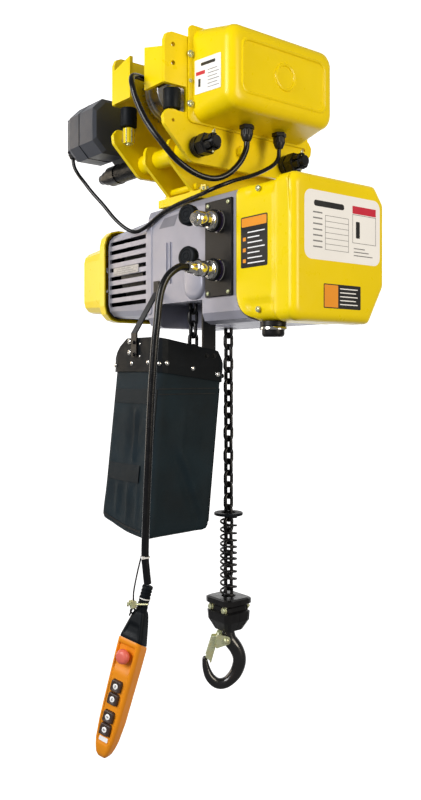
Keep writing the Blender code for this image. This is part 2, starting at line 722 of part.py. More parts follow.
def pinion_shaft():
    """Pinion and its shaft with the brake disc."""
    shaft = cut_sheet("pinion_shaft",
                      [gear_outline((MOTOR_Y, PINION_Z), PINION_TEETH, HOIST_MODULE,
                                    math.pi / PINION_TEETH - math.pi / 2)], 45, 61, "X", STEEL)
    set_origin(shaft, (0, MOTOR_Y, PINION_Z))
    join(shaft, turned("brake_disc", [(0, 120), (7, 120), (7, 92), (35, 92), (35, 82), (7, 82), (7, 30),
                                      (0, 30)], (0, MOTOR_Y, PINION_Z), (1, 0, 0), STEEL, 14))
    return shaft


def chain_guide():
    return cut_sheet("chain_guide", [rectangle(-34, 34, -37, 30, 6, 2), rectangle(-13.5, 13.5, -13.5, 13.5, 4, 2)],
                     -367, -340, "Z", STEEL)


def connector(name, z, tip):
    """Round plug and socket on the connector plate, pointing to the front."""
    y = BODY_FRONT - 4.8
    length = y - tip
    return turned(name, [(0, length), (8.5, length), (9.5, length - 5), (9.5, 48), (12.5, 46), (12.5, 30),
                         (11, 28), (11, 20), (15, 18), (15, 8), (13, 7), (13, 4), (18, 3), (18, 0), (0, 0)],
                  (126, y, z), (0, -1, 0), NICKEL, 14)


def dust_cap(name, z, rise):
    """Rubber cap with the loop that ties it to its connector."""
    loop = turned(name, [(16, -136), (18.6, -136), (18.6, -140), (16, -140)], (126, 0, z), (0, 1, 0),
                  RUBBER, 12, ring=True)
    centre = (94.4, -164, z + rise)
    cap = turned(f"{name}_cup", [(0, 6), (16, 6), (17.2, 4), (17.2, -7), (14.5, -7), (14.5, 2), (0, 2)],
                 centre, (0.25, -1, 0.1), RUBBER, 12)
    tether = tube(f"{name}_tether", [(108.4, -138, z + 0.4 * rise), (101, -148, z + 0.8 * rise),
                                     (94, -168, z + rise + 0.4)], 2.4, RUBBER, 0)
    join(loop, cap, tether)
    return loop


def build_hoist_body():
    suspension_frame()
    gear_casing()
    control_cover()
    motor_casing()
    fan_cover()
    stator()
    rotor()
    load_sheave()
    pinion_shaft()
    chain_guide()
    block("connector_plate", (88, BODY_FRONT - 4.4, -332), (157, BODY_FRONT - GAP, -175), PLASTIC, 1)
    for label, z, tip, rise in (("upper", -211, -178, 11), ("lower", -290, -190, 22)):
        connector(f"connector_{label}", z, tip)
        dust_cap(f"dust_cap_{label}", z, rise)
    turned("load_limiter_cap", [(0, -0.8), (20.5, -0.8), (20.5, -9), (18, -11), (18, -22), (15, -25), (0, -25)],
           (222, -94, BODY_BOTTOM - GAP), (0, 0, 1), PLASTIC, 20)


# ---------------------------------------------------------------- chain, hook block and hook
def chain(name, x, y, top, links):
    """Welded links, each a square-section ring, alternately along X and along Y."""
    wire = LINK_WIRE / 2
    lane = LINK_WIDTH / 2 - wire
    crown = LINK_PITCH / 2 - 0.4 + wire
    bend = crown - lane * math.sin(math.radians(60))

    def build(first):
        bm = bmesh.new()
        for i in range(first, links, 2):
            middle = top - crown - wire - i * LINK_PITCH
            path = arc((0, bend), lane, 0, 180, 3) + arc((0, -bend), lane, 180, 360, 3)
            rings = []
            for k, (a, b) in enumerate(path):
                here = Vector((a, b))
                arriving = (here - Vector(path[k - 1])).normalized()
                leaving = (Vector(path[(k + 1) % len(path)]) - here).normalized()
                along = (arriving + leaving).normalized()
                out = Vector((along.y, -along.x)) * wire / along.dot(arriving)
                ring = []
                for way, across in ((1, wire), (1, -wire), (-1, -wire), (-1, wire)):
                    u = a + out.x * way
                    v = middle + b + out.y * way
                    ring.append(bm.verts.new((x + u, y + across, v) if i % 2 else (x + across, y + u, v)))
                rings.append(ring)
            for k, ring in enumerate(rings):
                following = rings[(k + 1) % len(rings)]
                for m in range(4):
                    bm.faces.new((ring[m], ring[(m + 1) % 4], following[(m + 1) % 4], following[m]))
        return bm
    obj = from_bmesh(name, build(0), BLACK, smooth=False)
    join(obj, from_bmesh(f"{name}_odd_links", build(1), BLACK, smooth=False))
    return obj


def stop_spring():
    points = []
    per_turn = 10
    top = STOP_BOTTOM - 2.6
    bottom = SPRING_BOTTOM + 2.6
    count = SPRING_TURNS * per_turn
    for i in range(count + 1):
        angle = 2 * math.pi * i / per_turn
        points.append((SPRING_R * math.cos(angle), SPRING_R * math.sin(angle),
                       top + (bottom - top) * i / count))
    return tube("stop_spring", points, SPRING_WIRE, BLACK, 0)


def hook_block_half(name, way):
    """Half of the forged block that holds the chain's end and the hook's collar."""
    def section(z, half_x, half_y, radius):
        return across_z(z, rectangle(-half_x, half_x, -half_y, half_y, radius, 2))
    half = loft(name, [section(BLOCK_TOP, 30, 27, 9), section(-867, 34, 31, 11), section(-876, 34, 31, 11),
                       section(-881, 27, 25, 8), section(-888, 27, 25, 8), section(-891, 32, 29, 9),
                       section(-907, 31, 28, 9), section(BLOCK_BOTTOM, 21, 20, 8)], BLACK)
    low, high = (-60, 0.2) if way > 0 else (-0.2, 60)
    other = block(f"{name}_other", (-60, low, -950), (60, high, -850), BLACK)
    room = turned(f"{name}_room", [(0, -850), (13.2, -850), (13.2, -886), (19, -887), (19, -909),
                                   (12.8, -910), (12.8, -940), (0, -940)], (0, 0, 0), (0, 0, 1), BLACK, 16)
    cut(half, other, room)
    return half


def hook_frame():
    return empty("hook_frame", Matrix.Rotation(HOOK_TURN, 4, "Z"))


def swivel_hook(frame):
    """Forged hook; local X runs across its opening, with the tip on the negative side."""
    spine = [(0, -922), (0, -934), (3, -946), (13, -960), (19.5, -976), (19, -992), (11, -1010), (-4, -1024),
             (-20, -1026), (-33, -1016), (-40, -1001), (-43, -986), (-43.5, -979)]
    radii = [9, 12.5, 13.5, 13, 12.5, 12.3, 11.5, 10.3, 10, 9.6, 8.5, 6.5, 4]
    route = smooth_route([(u, 0, z) for u, z in spine], 11)
    share = [i / (len(route) - 1) * (len(radii) - 1) for i in range(len(route))]
    sizes = []
    for s in share:
        i = min(int(s), len(radii) - 2)
        sizes.append(radii[i] + (radii[i + 1] - radii[i]) * (s - i))
    hook = tube("swivel_hook", route, 12, BLACK, 2, sizes)
    shank = turned("hook_shank", [(0, -889), (18, -889), (18, -906.5), (11.8, -906.5), (11.8, -928),
                                  (0, -928)], (0, 0, 0), (0, 0, 1), BLACK, 16)
    join(hook, shank)
    pin_way = rod("hook_pin_way", (LATCH_PIN[0], -30, LATCH_PIN[1]), (LATCH_PIN[0], 30, LATCH_PIN[1]), 4.2,
                  BLACK, 12)
    cut(hook, pin_way)
    hang(frame, hook, shank, pin_way)
    return hook


def safety_latch(frame):
    """Bent sheet latch with an ear on each side of the hook, turning on its pin."""
    u, z = LATCH_PIN
    outline = [(-20.5, -936), (-17.5, -935), (-31.8, -985.5), (-34.5, -984.5)]
    latch = cut_sheet("safety_latch", [outline], -9.5, 9.5, "Y", ZINC)
    ear_outline = rounded([(u + 7, z - 6, 5), (u + 7, z + 6, 5), (-20.5, -932, 2), (-24, -958, 2)], 2)
    for way in (-1, 1):
        low, high = sorted((way * 14.2, way * 16.4))
        ear = cut_sheet(f"latch_ear_{way}", [ear_outline], low, high, "Y", ZINC)
        side = block(f"latch_side_{way}", (-22.6, min(way * 8, way * 16.4), -957),
                     (-19.4, max(way * 8, way * 16.4), -936), ZINC)
        join(latch, ear, side)
        hang(frame, ear, side)
    for way in (-1, 1):
        low, high = sorted((way * 7.4, way * 9.1))
        cheek_outline = [(-18.2, -937.5), (-31.5, -984.4), (-42.5, -975), (-31, -938)]
        cheek = cut_sheet(f"latch_cheek_{way}", [cheek_outline], low, high, "Y", ZINC)
        join(latch, cheek)
        hang(frame, cheek)
    pin = rod("latch_pin", (u, -19, z), (u, 19, z), 3.6, ZINC, 12)
    join(latch, pin)
    set_origin(latch, (u, 0, z))
    hang(frame, latch, pin)
    return latch


def build_chain_and_hook():
    chain("load_chain", 0, 0, LOAD_TOP, LOAD_LINKS)
    chain("slack_chain", 0, SLACK_Y, SLACK_TOP, SLACK_LINKS)
    turned("stop_disc", [(13.4, STOP_TOP), (26, STOP_TOP), (26.5, STOP_TOP - 1), (26.5, STOP_BOTTOM),
                         (13.4, STOP_BOTTOM)], (0, 0, 0), (0, 0, 1), RUBBER, 24, ring=True)
    stop_spring()
    hook_block_half("hook_block_front", -1)
    hook_block_half("hook_block_rear", 1)
    frame = hook_frame()
    swivel_hook(frame)
    safety_latch(frame)


# ---------------------------------------------------------------- chain bag
def bag_section(z, inset, radius=16):
    share = max(0.0, (BAG_TOP - z) / (BAG_TOP - BAG_BOTTOM))
    dx, dy = BAG_LEAN[0] * share, BAG_LEAN[1] * share
    return across_z(z, rectangle(BAG_LOW_X + dx + inset - 4 * share, BAG_HIGH_X + dx - inset + 4 * share,
                                 BAG_LOW_Y + dy + inset, BAG_HIGH_Y + dy - inset, radius - inset))


def chain_bag():
    wall = 2.5
    outer = [bag_section(BAG_BOTTOM, 9), bag_section(BAG_BOTTOM + 6, 2), bag_section(BAG_BOTTOM + 20, 0),
             bag_section(-600, 0), bag_section(BAG_TOP, 0)]
    inner = [bag_section(BAG_TOP, wall), bag_section(-600, wall), bag_section(BAG_BOTTOM + 20, wall),
             bag_section(BAG_BOTTOM + 8, wall + 3)]
    return loft("chain_bag", outer + inner, BAG_CLOTH)


def bag_collar():
    """Stiff collar round the bag's mouth, highest at its front corner."""
    low, high = -482, -395
    outer = [bag_section(z, -3.6) for z in (low, BAG_TOP, high)]
    inner = [bag_section(z, -1.2) for z in (high, BAG_TOP, low)]
    collar = loft("bag_collar", outer + inner, RUBBER, closed=True)
    side_cut = cut_sheet("collar_side_cut", [[(-118, -446), (-104, -441), (-94, -430), (-75, -410), (-54, -397),
                                              (-34, -390), (-34, -380), (-118, -380)]], -230, -20, "Y", RUBBER)
    back_cut = cut_sheet("collar_back_cut", [[(-200, -394), (-60, -418), (-46, -438), (-30, -441),
                                              (-30, -380), (-200, -380)]], -130, 60, "X", RUBBER)
    low_cut = cut_sheet("collar_low_cut", [[(-200, -452.5), (-30, -475), (-30, -495), (-200, -495)]], -130, 60,
                        "X", RUBBER)
    cut(collar, side_cut, back_cut, low_cut)
    return collar


def bag_bracket():
    """Angle bracket from the casing's underside down inside the collar."""
    face = BAG_HIGH_X + 1.2 - GAP
    bracket = block("bag_bracket", (face - 4, -91, -432), (face, -63, -334.6), PLASTIC)
    join(bracket, block("bag_bracket_foot", (face - 2, -91, -338.6), (72, -63, -334.6), PLASTIC))
    return bracket


def bag_strap():
    """Flat strap from the casing's front to the collar's front."""
    path = [(-55, -122, -292), (-55, -122, -312), (-26, -188.8, -388), (-26, -188.8, -428)]
    sections = []
    for x, y, z in path:
        sections.append([(x - 8, y - 1.5, z), (x + 8, y - 1.5, z), (x + 8, y + 1.5, z), (x - 8, y + 1.5, z)])
    return loft("bag_strap", sections, PLASTIC)


# ---------------------------------------------------------------- pendant
def pendant_frame():
    """Local Z runs up the pendant and local -Y looks out of its face."""
    lean = PENDANT_LEAN
    way = PENDANT_LEAN_DIRECTION
    up = -Vector((math.sin(lean) * math.cos(way), math.sin(lean) * math.sin(way), -math.cos(lean)))
    face = Vector((math.cos(PENDANT_FACE_DIRECTION), math.sin(PENDANT_FACE_DIRECTION), 0))
    back = -(face - up * face.dot(up)).normalized()
    turn = Matrix((back.cross(up), back, up)).transposed().to_4x4()
    return empty("pendant_frame", Matrix.Translation(Vector(PENDANT_TOP) * MM) @ turn)


def pendant_section(z, half_x, front, back, radius):
    return across_z(z, rectangle(-half_x, half_x, front, back, radius, 2))


def pendant_body(frame):
    body = loft("pendant_body", [pendant_section(-84, 20, -15, 14, 6), pendant_section(-87, 21, -16, 15, 7),
                                 pendant_section(-128, 20.5, -16, 15, 7),
                                 pendant_section(-215, 18.5, -16, 14, 7),
                                 pendant_section(-245, 16, -15.5, 12, 6),
                                 pendant_section(-266, 10.5, -12, 8, 5),
                                 pendant_section(-271, 7, -8, 5, 3)], PENDANT_ORANGE)
    for i, z in enumerate(BUTTON_HEIGHTS):
        pocket = block(f"button_pocket_{i}", (-9.4, -30, z - 9.2), (9.4, -7, z + 9.2), PENDANT_ORANGE)
        cut(body, pocket)
        hang(frame, pocket)
    well = rod("stop_well", (0, -30, STOP_BUTTON_HEIGHT), (0, -13.5, STOP_BUTTON_HEIGHT), 12.6,
               PENDANT_ORANGE, 16)
    stem_way = rod("stop_stem_way", (0, -20, STOP_BUTTON_HEIGHT), (0, 3, STOP_BUTTON_HEIGHT), 6.6,
                   PENDANT_ORANGE, 12)
    cut(body, well, stem_way)
    hang(frame, body, well, stem_way)


def pendant_boot(frame):
    """Rubber boot with its ribbed sleeve round the cable."""
    sleeve = [(0, -0.4), (8, -0.4), (8.5, -2)]
    for i in range(3):
        sleeve += [(8.5, -7 - 10 * i), (7.2, -9 - 10 * i), (7.2, -12 - 10 * i), (8.5, -14 - 10 * i)]
    sleeve += [(8.5, -48), (0, -48)]
    boot = loft("pendant_boot", [pendant_section(-40, 9, -9, 9, 5), pendant_section(-46, 11, -10, 10, 5),
                                 pendant_section(-80, 20, -14, 13, 6),
                                 pendant_section(-83.6, 20, -14, 13, 6)], RUBBER)
    ribbed = turned("boot_sleeve", sleeve, (0, 0, 0), (0, 0, 1), RUBBER, 10)
    join(boot, ribbed)
    hang(frame, boot, ribbed)


def pendant_buttons(frame):
    names = ("button_up", "button_down", "button_east", "button_west")
    for name, z in zip(names, BUTTON_HEIGHTS):
        hang(frame, block(name, (-8.9, -20, z - 8.7), (8.9, -12, z + 8.7), PLASTIC, 1.5))
    stop = turned("stop_button", [(0, 10), (7, 9.5), (10.5, 7), (11, 3), (10.6, 0), (6, 0), (6, -14),
                                  (0, -14)], (0, -17.6, STOP_BUTTON_HEIGHT), (0, -1, 0), STOP_RED, 16)
    hang(frame, stop)


def strain_wire():
    """Thin wire beside the cable, with its clamp and the band that ties it to the cable."""
    wire = tube("strain_wire", smooth_route(STRAIN_WIRE, 16), 1.3, STEEL, 0)
    band = turned("strain_band", [(7.2, 2), (8.6, 2), (8.6, -2), (7.2, -2)], (105.1, -254.6, -741), (0, 0, 1),
                  PLASTIC, 12, ring=True)
    x, y, z = CLAMP
    clamp = block("strain_clamp", (x - 4, y - 4, z - 5.5), (x + 4, y + 4, z + 5.5), ZINC, 1)
    bolt = rod("strain_bolt", (x - 5, y - 6.2, z), (x + 15, y + 18.8, z), 1.8, ZINC, 8)
    join(wire, band, clamp, bolt)
    return wire


def build_pendant():
    frame = pendant_frame()
    pendant_body(frame)
    pendant_boot(frame)
    pendant_buttons(frame)
    tube("pendant_cable", smooth_route(PENDANT_CABLE, 26), 6, RUBBER, 2)
    strain_wire()


def build_cables():
    tube("limit_switch_cable", smooth_route(LIMIT_CABLE, 22), 5, RUBBER, 2)
    tube("trolley_motor_cable", smooth_route(MOTOR_CABLE, 21), 3.5, RUBBER, 2)


def build():
    global parts, cutters
    clear_scene()
    parts = new_collection("chain_hoist")
    cutters = new_collection("cutters")
    build_trolley()
    build_hoist_body()
    build_chain_and_hook()
    chain_bag()
    bag_collar()
    bag_bracket()
    bag_strap()
    build_pendant()
    build_cables()


build()
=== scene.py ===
"""Looks for the chain hoist: materials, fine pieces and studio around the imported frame.

Lengths in the tables are millimetres in the part's own frame; MM turns them into metres.
"""
import json
import math

import bmesh
import bpy
from mathutils import Matrix, Vector
from mathutils import noise as smooth_noise


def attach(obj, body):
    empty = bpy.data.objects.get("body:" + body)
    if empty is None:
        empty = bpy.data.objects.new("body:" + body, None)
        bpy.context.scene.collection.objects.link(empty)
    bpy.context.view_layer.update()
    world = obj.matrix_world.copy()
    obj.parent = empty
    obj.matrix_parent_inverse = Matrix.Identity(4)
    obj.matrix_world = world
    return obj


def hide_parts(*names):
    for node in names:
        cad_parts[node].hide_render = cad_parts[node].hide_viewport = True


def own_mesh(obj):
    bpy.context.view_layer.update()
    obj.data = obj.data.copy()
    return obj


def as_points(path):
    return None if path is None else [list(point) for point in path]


MM = 0.001
ROOT = "trolley_and_hoist"
# Ways to face: up, out of the front with the connectors, and out of the side with the control box.
UP, FRONT, NEAR = (0, 0, 1), (0, -1, 0), (1, 0, 0)

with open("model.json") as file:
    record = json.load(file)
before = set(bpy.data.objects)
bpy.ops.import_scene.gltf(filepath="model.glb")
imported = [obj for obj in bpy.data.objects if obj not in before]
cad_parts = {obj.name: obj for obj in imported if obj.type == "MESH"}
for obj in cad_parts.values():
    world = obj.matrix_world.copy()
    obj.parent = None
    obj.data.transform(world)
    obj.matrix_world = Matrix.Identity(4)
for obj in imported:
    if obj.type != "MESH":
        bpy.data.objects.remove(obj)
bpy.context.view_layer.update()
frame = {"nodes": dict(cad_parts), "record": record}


# ---------------------------------------------------------------- materials
def new_material(name, colour, roughness, metallic=0.0, coat=0.0, sheen=0.0):
    """A Principled material; returns it with its shader and node tree."""
    made = bpy.data.materials.new(name)
    made.use_nodes = True
    shader = made.node_tree.nodes["Principled BSDF"]
    shader.inputs["Base Color"].default_value = (*colour, 1)
    shader.inputs["Roughness"].default_value = roughness
    shader.inputs["Metallic"].default_value = metallic
    shader.inputs["Coat Weight"].default_value = coat
    shader.inputs["Coat Roughness"].default_value = 0.12
    shader.inputs["Sheen Weight"].default_value = sheen
    shader.inputs["Sheen Roughness"].default_value = 0.4
    made.diffuse_color = (*colour, 1)
    return made, shader, made.node_tree


def node(tree, kind, **inputs):
    made = tree.nodes.new(kind)
    for name, value in inputs.items():
        made.inputs[name.replace("_", " ")].default_value = value
    return made


def place_texture(tree, kind, scale, **inputs):
    """A texture read at the object's own place, so its grain has a real size."""
    where = tree.nodes.new("ShaderNodeTexCoord")
    texture = node(tree, kind, Scale=scale, **inputs)
    tree.links.new(where.outputs["Object"], texture.inputs["Vector"])
    return texture


def colour_ramp(tree, shader, texture, stops):
    """Colour the surface by a texture, through (position, colour) stops."""
    ramp = tree.nodes.new("ShaderNodeValToRGB")
    elements = ramp.color_ramp.elements
    while len(elements) < len(stops):
        elements.new(0.5)
    for element, (position, colour) in zip(elements, stops):
        element.position = position
        element.color = (*colour, 1)
    tree.links.new(texture.outputs["Fac"], ramp.inputs["Fac"])
    tree.links.new(ramp.outputs["Color"], shader.inputs["Base Color"])


def vary_colour(tree, shader, colour, amount, scale, detail=3):
    """Slow drift between a darker and a lighter version of one colour."""
    texture = place_texture(tree, "ShaderNodeTexNoise", scale, Detail=detail)
    darker, lighter = ([min(1, c * (1 + way * amount)) for c in colour] for way in (-1, 1))
    colour_ramp(tree, shader, texture, ((0.3, darker), (0.7, lighter)))


def vary_roughness(tree, shader, low, high, scale):
    texture = place_texture(tree, "ShaderNodeTexNoise", scale, Detail=4)
    span = node(tree, "ShaderNodeMapRange", To_Min=low, To_Max=high)
    span.inputs["From Min"].default_value = 0.3
    span.inputs["From Max"].default_value = 0.7
    tree.links.new(texture.outputs["Fac"], span.inputs["Value"])
    tree.links.new(span.outputs["Result"], shader.inputs["Roughness"])


def bump(tree, shader, height, strength, distance):
    made = node(tree, "ShaderNodeBump", Strength=strength, Distance=distance)
    tree.links.new(height, made.inputs["Height"])
    tree.links.new(made.outputs["Normal"], shader.inputs["Normal"])


def arithmetic(tree, operation, one, two):
    made = tree.nodes.new("ShaderNodeMath")
    made.operation = operation
    tree.links.new(one, made.inputs[0])
    tree.links.new(two, made.inputs[1])
    return made.outputs[0]


def surface(name, colour, rough, metallic=0.0, coat=0.0, mottle=(0.06, 9), grain=(900, 0.12, 0.0002),
            gloss=0.5):
    """Paint, metal, rubber or plastic: colour drift, uneven gloss and a fine grain.

    rough is (lowest, highest); mottle is (amount, scale per metre); grain is (scale, strength, depth);
    gloss is how much light the surface reflects, 0.5 for most.
    """
    made, shader, tree = new_material(name, colour, rough[0], metallic, coat)
    shader.inputs["Specular IOR Level"].default_value = gloss
    vary_colour(tree, shader, colour, mottle[0], mottle[1])
    vary_roughness(tree, shader, rough[0], rough[1], 60)
    texture = place_texture(tree, "ShaderNodeTexNoise", grain[0], Detail=2)
    bump(tree, shader, texture.outputs["Fac"], grain[1], grain[2])
    return made


def cloth(name, colour, thread):
    """Plain weave: threads every so many millimetres both ways, with uneven dye."""
    made, shader, tree = new_material(name, colour, 0.7, sheen=0.05)
    shader.inputs["Specular IOR Level"].default_value = 0.28
    vary_colour(tree, shader, colour, 0.35, 14, 5)
    waves = []
    for direction in ("X", "Y", "Z"):
        wave = place_texture(tree, "ShaderNodeTexWave", math.pi / (10 * thread * MM), Distortion=0.6)
        wave.bands_direction = direction
        waves.append(wave.outputs["Fac"])
    level = arithmetic(tree, "ADD", waves[0], waves[1])
    bump(tree, shader, arithmetic(tree, "MULTIPLY", level, waves[2]), 0.3, 0.0004)
    return made


def zinc_plate(name):
    """Yellow zinc: gold that drifts to pink and green."""
    made, shader, tree = new_material(name, (0.72, 0.6, 0.3), 0.28, 0.6)
    texture = place_texture(tree, "ShaderNodeTexNoise", 120, Detail=2)
    pink, green, pale = (0.75, 0.55, 0.22), (0.62, 0.66, 0.42), (0.72, 0.68, 0.5)
    colour_ramp(tree, shader, texture, ((0, pink), (0.5, green), (1, pale)))
    vary_roughness(tree, shader, 0.2, 0.38, 200)
    return made


def printed(name, colour, rough=(0.3, 0.4), mottle=(0.03, 20)):
    return surface(name, colour, rough, mottle=mottle, grain=(900, 0.03, 0.0001))


LOOKS = {
    "paint_yellow": surface("yellow_paint", (0.93, 0.7, 0.0), (0.26, 0.38), coat=0.08, mottle=(0.04, 7),
                            grain=(700, 0.1, 0.0003), gloss=0.3),
    "cast_grey": surface("grey_cast_paint", (0.37, 0.37, 0.44), (0.34, 0.48), 0.35, mottle=(0.08, 12),
                         grain=(1400, 0.35, 0.0003)),
    "motor_slate": surface("slate_paint", (0.052, 0.058, 0.075), (0.4, 0.52), 0.1, mottle=(0.1, 15),
                           grain=(1100, 0.3, 0.0003)),
    "black_oxide": surface("black_steel", (0.008, 0.008, 0.009), (0.24, 0.42), 0.3, mottle=(0.3, 40),
                           grain=(1200, 0.25, 0.0002)),
    "black_plastic": surface("black_plastic_moulded", (0.007, 0.007, 0.008), (0.32, 0.45),
                             mottle=(0.15, 30), grain=(1500, 0.2, 0.0002), gloss=0.35),
    "black_rubber": surface("black_rubber_moulded", (0.004, 0.006, 0.0085), (0.42, 0.6),
                            mottle=(0.25, 25), grain=(900, 0.2, 0.0002), gloss=0.14),
    "nickel": surface("nickel_plate", (0.78, 0.76, 0.72), (0.1, 0.22), 1.0, mottle=(0.04, 50),
                      grain=(500, 0.08, 0.0002)),
    "zinc_yellow": zinc_plate("zinc_plate"),
    "bright_steel": surface("machined_steel", (0.52, 0.52, 0.54), (0.22, 0.4), 1.0, mottle=(0.1, 60),
                            grain=(1500, 0.15, 0.0002)),
    "laminated_steel": surface("varnished_laminations", (0.05, 0.048, 0.046), (0.45, 0.6), 0.7,
                               mottle=(0.25, 200), grain=(400, 0.5, 0.0006)),
    "bag_cloth": cloth("bag_canvas", (0.0035, 0.0125, 0.019), 1.1),
    "pendant_orange": surface("pendant_plastic", (0.86, 0.29, 0.004), (0.3, 0.42), mottle=(0.05, 20),
                              grain=(1600, 0.2, 0.0002)),
    "stop_red": surface("stop_plastic", (0.76, 0.15, 0.11), (0.35, 0.45), mottle=(0.05, 40),
                        grain=(900, 0.05, 0.0002)),
}
CABLE_JACKET = surface("cable_jacket", (0.004, 0.004, 0.005), (0.2, 0.32), coat=0.1, mottle=(0.2, 30),
                       grain=(500, 0.03, 0.0002), gloss=0.3)
WHITE_PLASTIC = surface("white_plastic", (0.8, 0.8, 0.78), (0.3, 0.4), mottle=(0.04, 60),
                        grain=(900, 0.05, 0.0001))
PLATE_GREY = surface("stamped_plate", (0.42, 0.42, 0.43), (0.4, 0.55), 0.6, mottle=(0.2, 300),
                     grain=(500, 0.4, 0.0004))
# Darker grey standing for the shade inside the hollow by the casing's lug: painted shade, not a colour of the
# casting.
RECESS_PAINTED_SHADE = surface("grey_cast_painted_shade", (0.2, 0.2, 0.24), (0.5, 0.6), 0.2, mottle=(0.08, 12),
                     grain=(1400, 0.35, 0.0003))
DARK_VIOLET = surface("violet_gasket", (0.03, 0.015, 0.08), (0.4, 0.55), mottle=(0.2, 60))
HOOK_PAINT = surface("hook_black_paint", (0.009, 0.009, 0.01), (0.18, 0.34), 0.1, coat=0.5,
                     mottle=(0.2, 30), grain=(260, 0.25, 0.0006))
KEY_BROWN = surface("key_plastic", (0.05, 0.03, 0.024), (0.35, 0.45), mottle=(0.08, 40),
                    grain=(1200, 0.1, 0.0001))
STITCHING = surface("bag_thread", (0.004, 0.006, 0.008), (0.6, 0.8), mottle=(0.2, 300),
                    grain=(1500, 0.6, 0.0004))
WEBBING = cloth("bag_webbing", (0.006, 0.011, 0.015), 2.0)
GREY_PRINT = printed("label_grey_print", (0.25, 0.25, 0.26), (0.35, 0.45), (0.05, 40))
WHITE_LABEL = printed("label_white", (0.97, 0.97, 0.98), mottle=(0.02, 20))
RED_LABEL = printed("label_red", (0.62, 0.02, 0.05))
BLACK_LABEL = printed("label_black", (0.012, 0.012, 0.013), (0.3, 0.42), (0.1, 30))
ORANGE_LABEL = printed("label_orange", (0.9, 0.33, 0.02))


def dress_cad_nodes():
    """Give every CAD node its look and smooth shading between its sharp edges."""
    slots = {part["node"]: part["material_slot"] for part in frame["record"]["subparts"]}
    for name, obj in frame["nodes"].items():
        look = LOOKS[slots[name]]
        for slot in obj.material_slots:
            slot.material = look
        obj.data.shade_smooth()
        obj.data.set_sharp_from_angle(angle=math.radians(38))


dress_cad_nodes()


# ---------------------------------------------------------------- shapes
class Shape:
    """Closed forms gathered in millimetres, then made into one piece that rides on a body."""

    def __init__(self):
        self.bm = bmesh.new()

    def loft(self, sections, closed=False):
        rings = [[self.bm.verts.new(p) for p in section] for section in sections]
        pairs = list(zip(rings, rings[1:]))
        if closed:
            pairs.append((rings[-1], rings[0]))
        for one, two in pairs:
            for i in range(len(one)):
                j = (i + 1) % len(one)
                self.bm.faces.new((one[i], one[j], two[j], two[i]))
        if not closed:
            self.bm.faces.new(rings[0])
            self.bm.faces.new(rings[-1])
        return self

    def turned(self, profile, origin, axis, steps=40, ring=False):
        """Turn (radius, height) points about an axis through the origin given."""
        turn = Vector(axis).to_track_quat("Z", "Y")
        sections = []
        for radius, height in profile:
            section = []
            for i in range(steps):
                t = 2 * math.pi * i / steps
                point = Vector((max(radius, 0.01) * math.cos(t), max(radius, 0.01) * math.sin(t), height))
                section.append(turn @ point + Vector(origin))
            sections.append(section)
        return self.loft(sections, closed=ring)

    def box(self, low, high, turn=None, place=(0, 0, 0)):
        corners = [Vector((x, y, z)) for z in (low[2], high[2])
                   for x, y in ((low[0], low[1]), (high[0], low[1]), (high[0], high[1]), (low[0], high[1]))]
        if turn is not None:
            corners = [turn @ c for c in corners]
        corners = [c + Vector(place) for c in corners]
        return self.loft([corners[:4], corners[4:]])

    def stack(self, layers, axis):
        """Loft flat outlines: each layer is its height along X, Y or Z and its outline."""
        def point(a, b, c):
            return {"X": (c, a, b), "Y": (a, c, b), "Z": (a, b, c)}[axis]
        return self.loft([[point(a, b, height) for a, b in outline] for height, outline in layers])

    def plate(self, outline, low, high, axis):
        return self.stack([(low, outline), (high, outline)], axis)

    def tube(self, points, radius, sides=12, closed=False):
        """A round bar along points; radius is one number or one for each point."""
        path = [Vector(p) for p in points]
        count = len(path)
        side = None
        sections = []
        for i, here in enumerate(path):
            before = path[i - 1] if closed or i else here
            after = path[(i + 1) % count] if closed or i < count - 1 else here
            along = (after - before).normalized()
            if side is None:
                side = along.orthogonal().normalized()
            side = (side - along * side.dot(along)).normalized()
            up = along.cross(side)
            size = radius[i] if isinstance(radius, (list, tuple)) else radius
            sections.append([here + (side * math.cos(t) + up * math.sin(t)) * size
                             for t in (2 * math.pi * k / sides for k in range(sides))])
        return self.loft(sections, closed=closed)

    def move(self, matrix):
        bmesh.ops.transform(self.bm, matrix=matrix, verts=self.bm.verts[:])
        return self

    def as_object(self, name):
        """An object of the gathered forms, in metres."""
        bmesh.ops.recalc_face_normals(self.bm, faces=self.bm.faces[:])
        bmesh.ops.scale(self.bm, vec=(MM, MM, MM), verts=self.bm.verts[:])
        mesh = bpy.data.meshes.new(name)
        self.bm.to_mesh(mesh)
        self.bm.free()
        obj = bpy.data.objects.new(name, mesh)
        bpy.context.scene.collection.objects.link(obj)
        return obj

    def piece(self, name, slot, body, replaces=(), bevel=0.0, angle=35, look=None):
        """A visible piece on a body; angle is the sharpest bend, in degrees, that stays smooth."""
        obj = self.as_object(name)
        obj.data.shade_smooth()
        obj.data.set_sharp_from_angle(angle=math.radians(angle))
        obj.data.materials.append(look or LOOKS[slot])
        if bevel:
            edges = obj.modifiers.new("edges", "BEVEL")
            edges.width = bevel * MM
            edges.segments = 2
            edges.limit_method = "ANGLE"
            edges.angle_limit = math.radians(angle)
            edges.harden_normals = True
        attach(obj, body)
        if replaces:
            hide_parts(*replaces)
        return obj


def circle(radius, count, centre=(0, 0)):
    return [(centre[0] + radius * math.cos(t), centre[1] + radius * math.sin(t))
            for t in (2 * math.pi * k / count for k in range(count))]


def arc(centre, radius, start, end, count):
    made = []
    for i in range(count + 1):
        t = math.radians(start + (end - start) * i / count)
        made.append((centre[0] + radius * math.cos(t), centre[1] + radius * math.sin(t)))
    return made


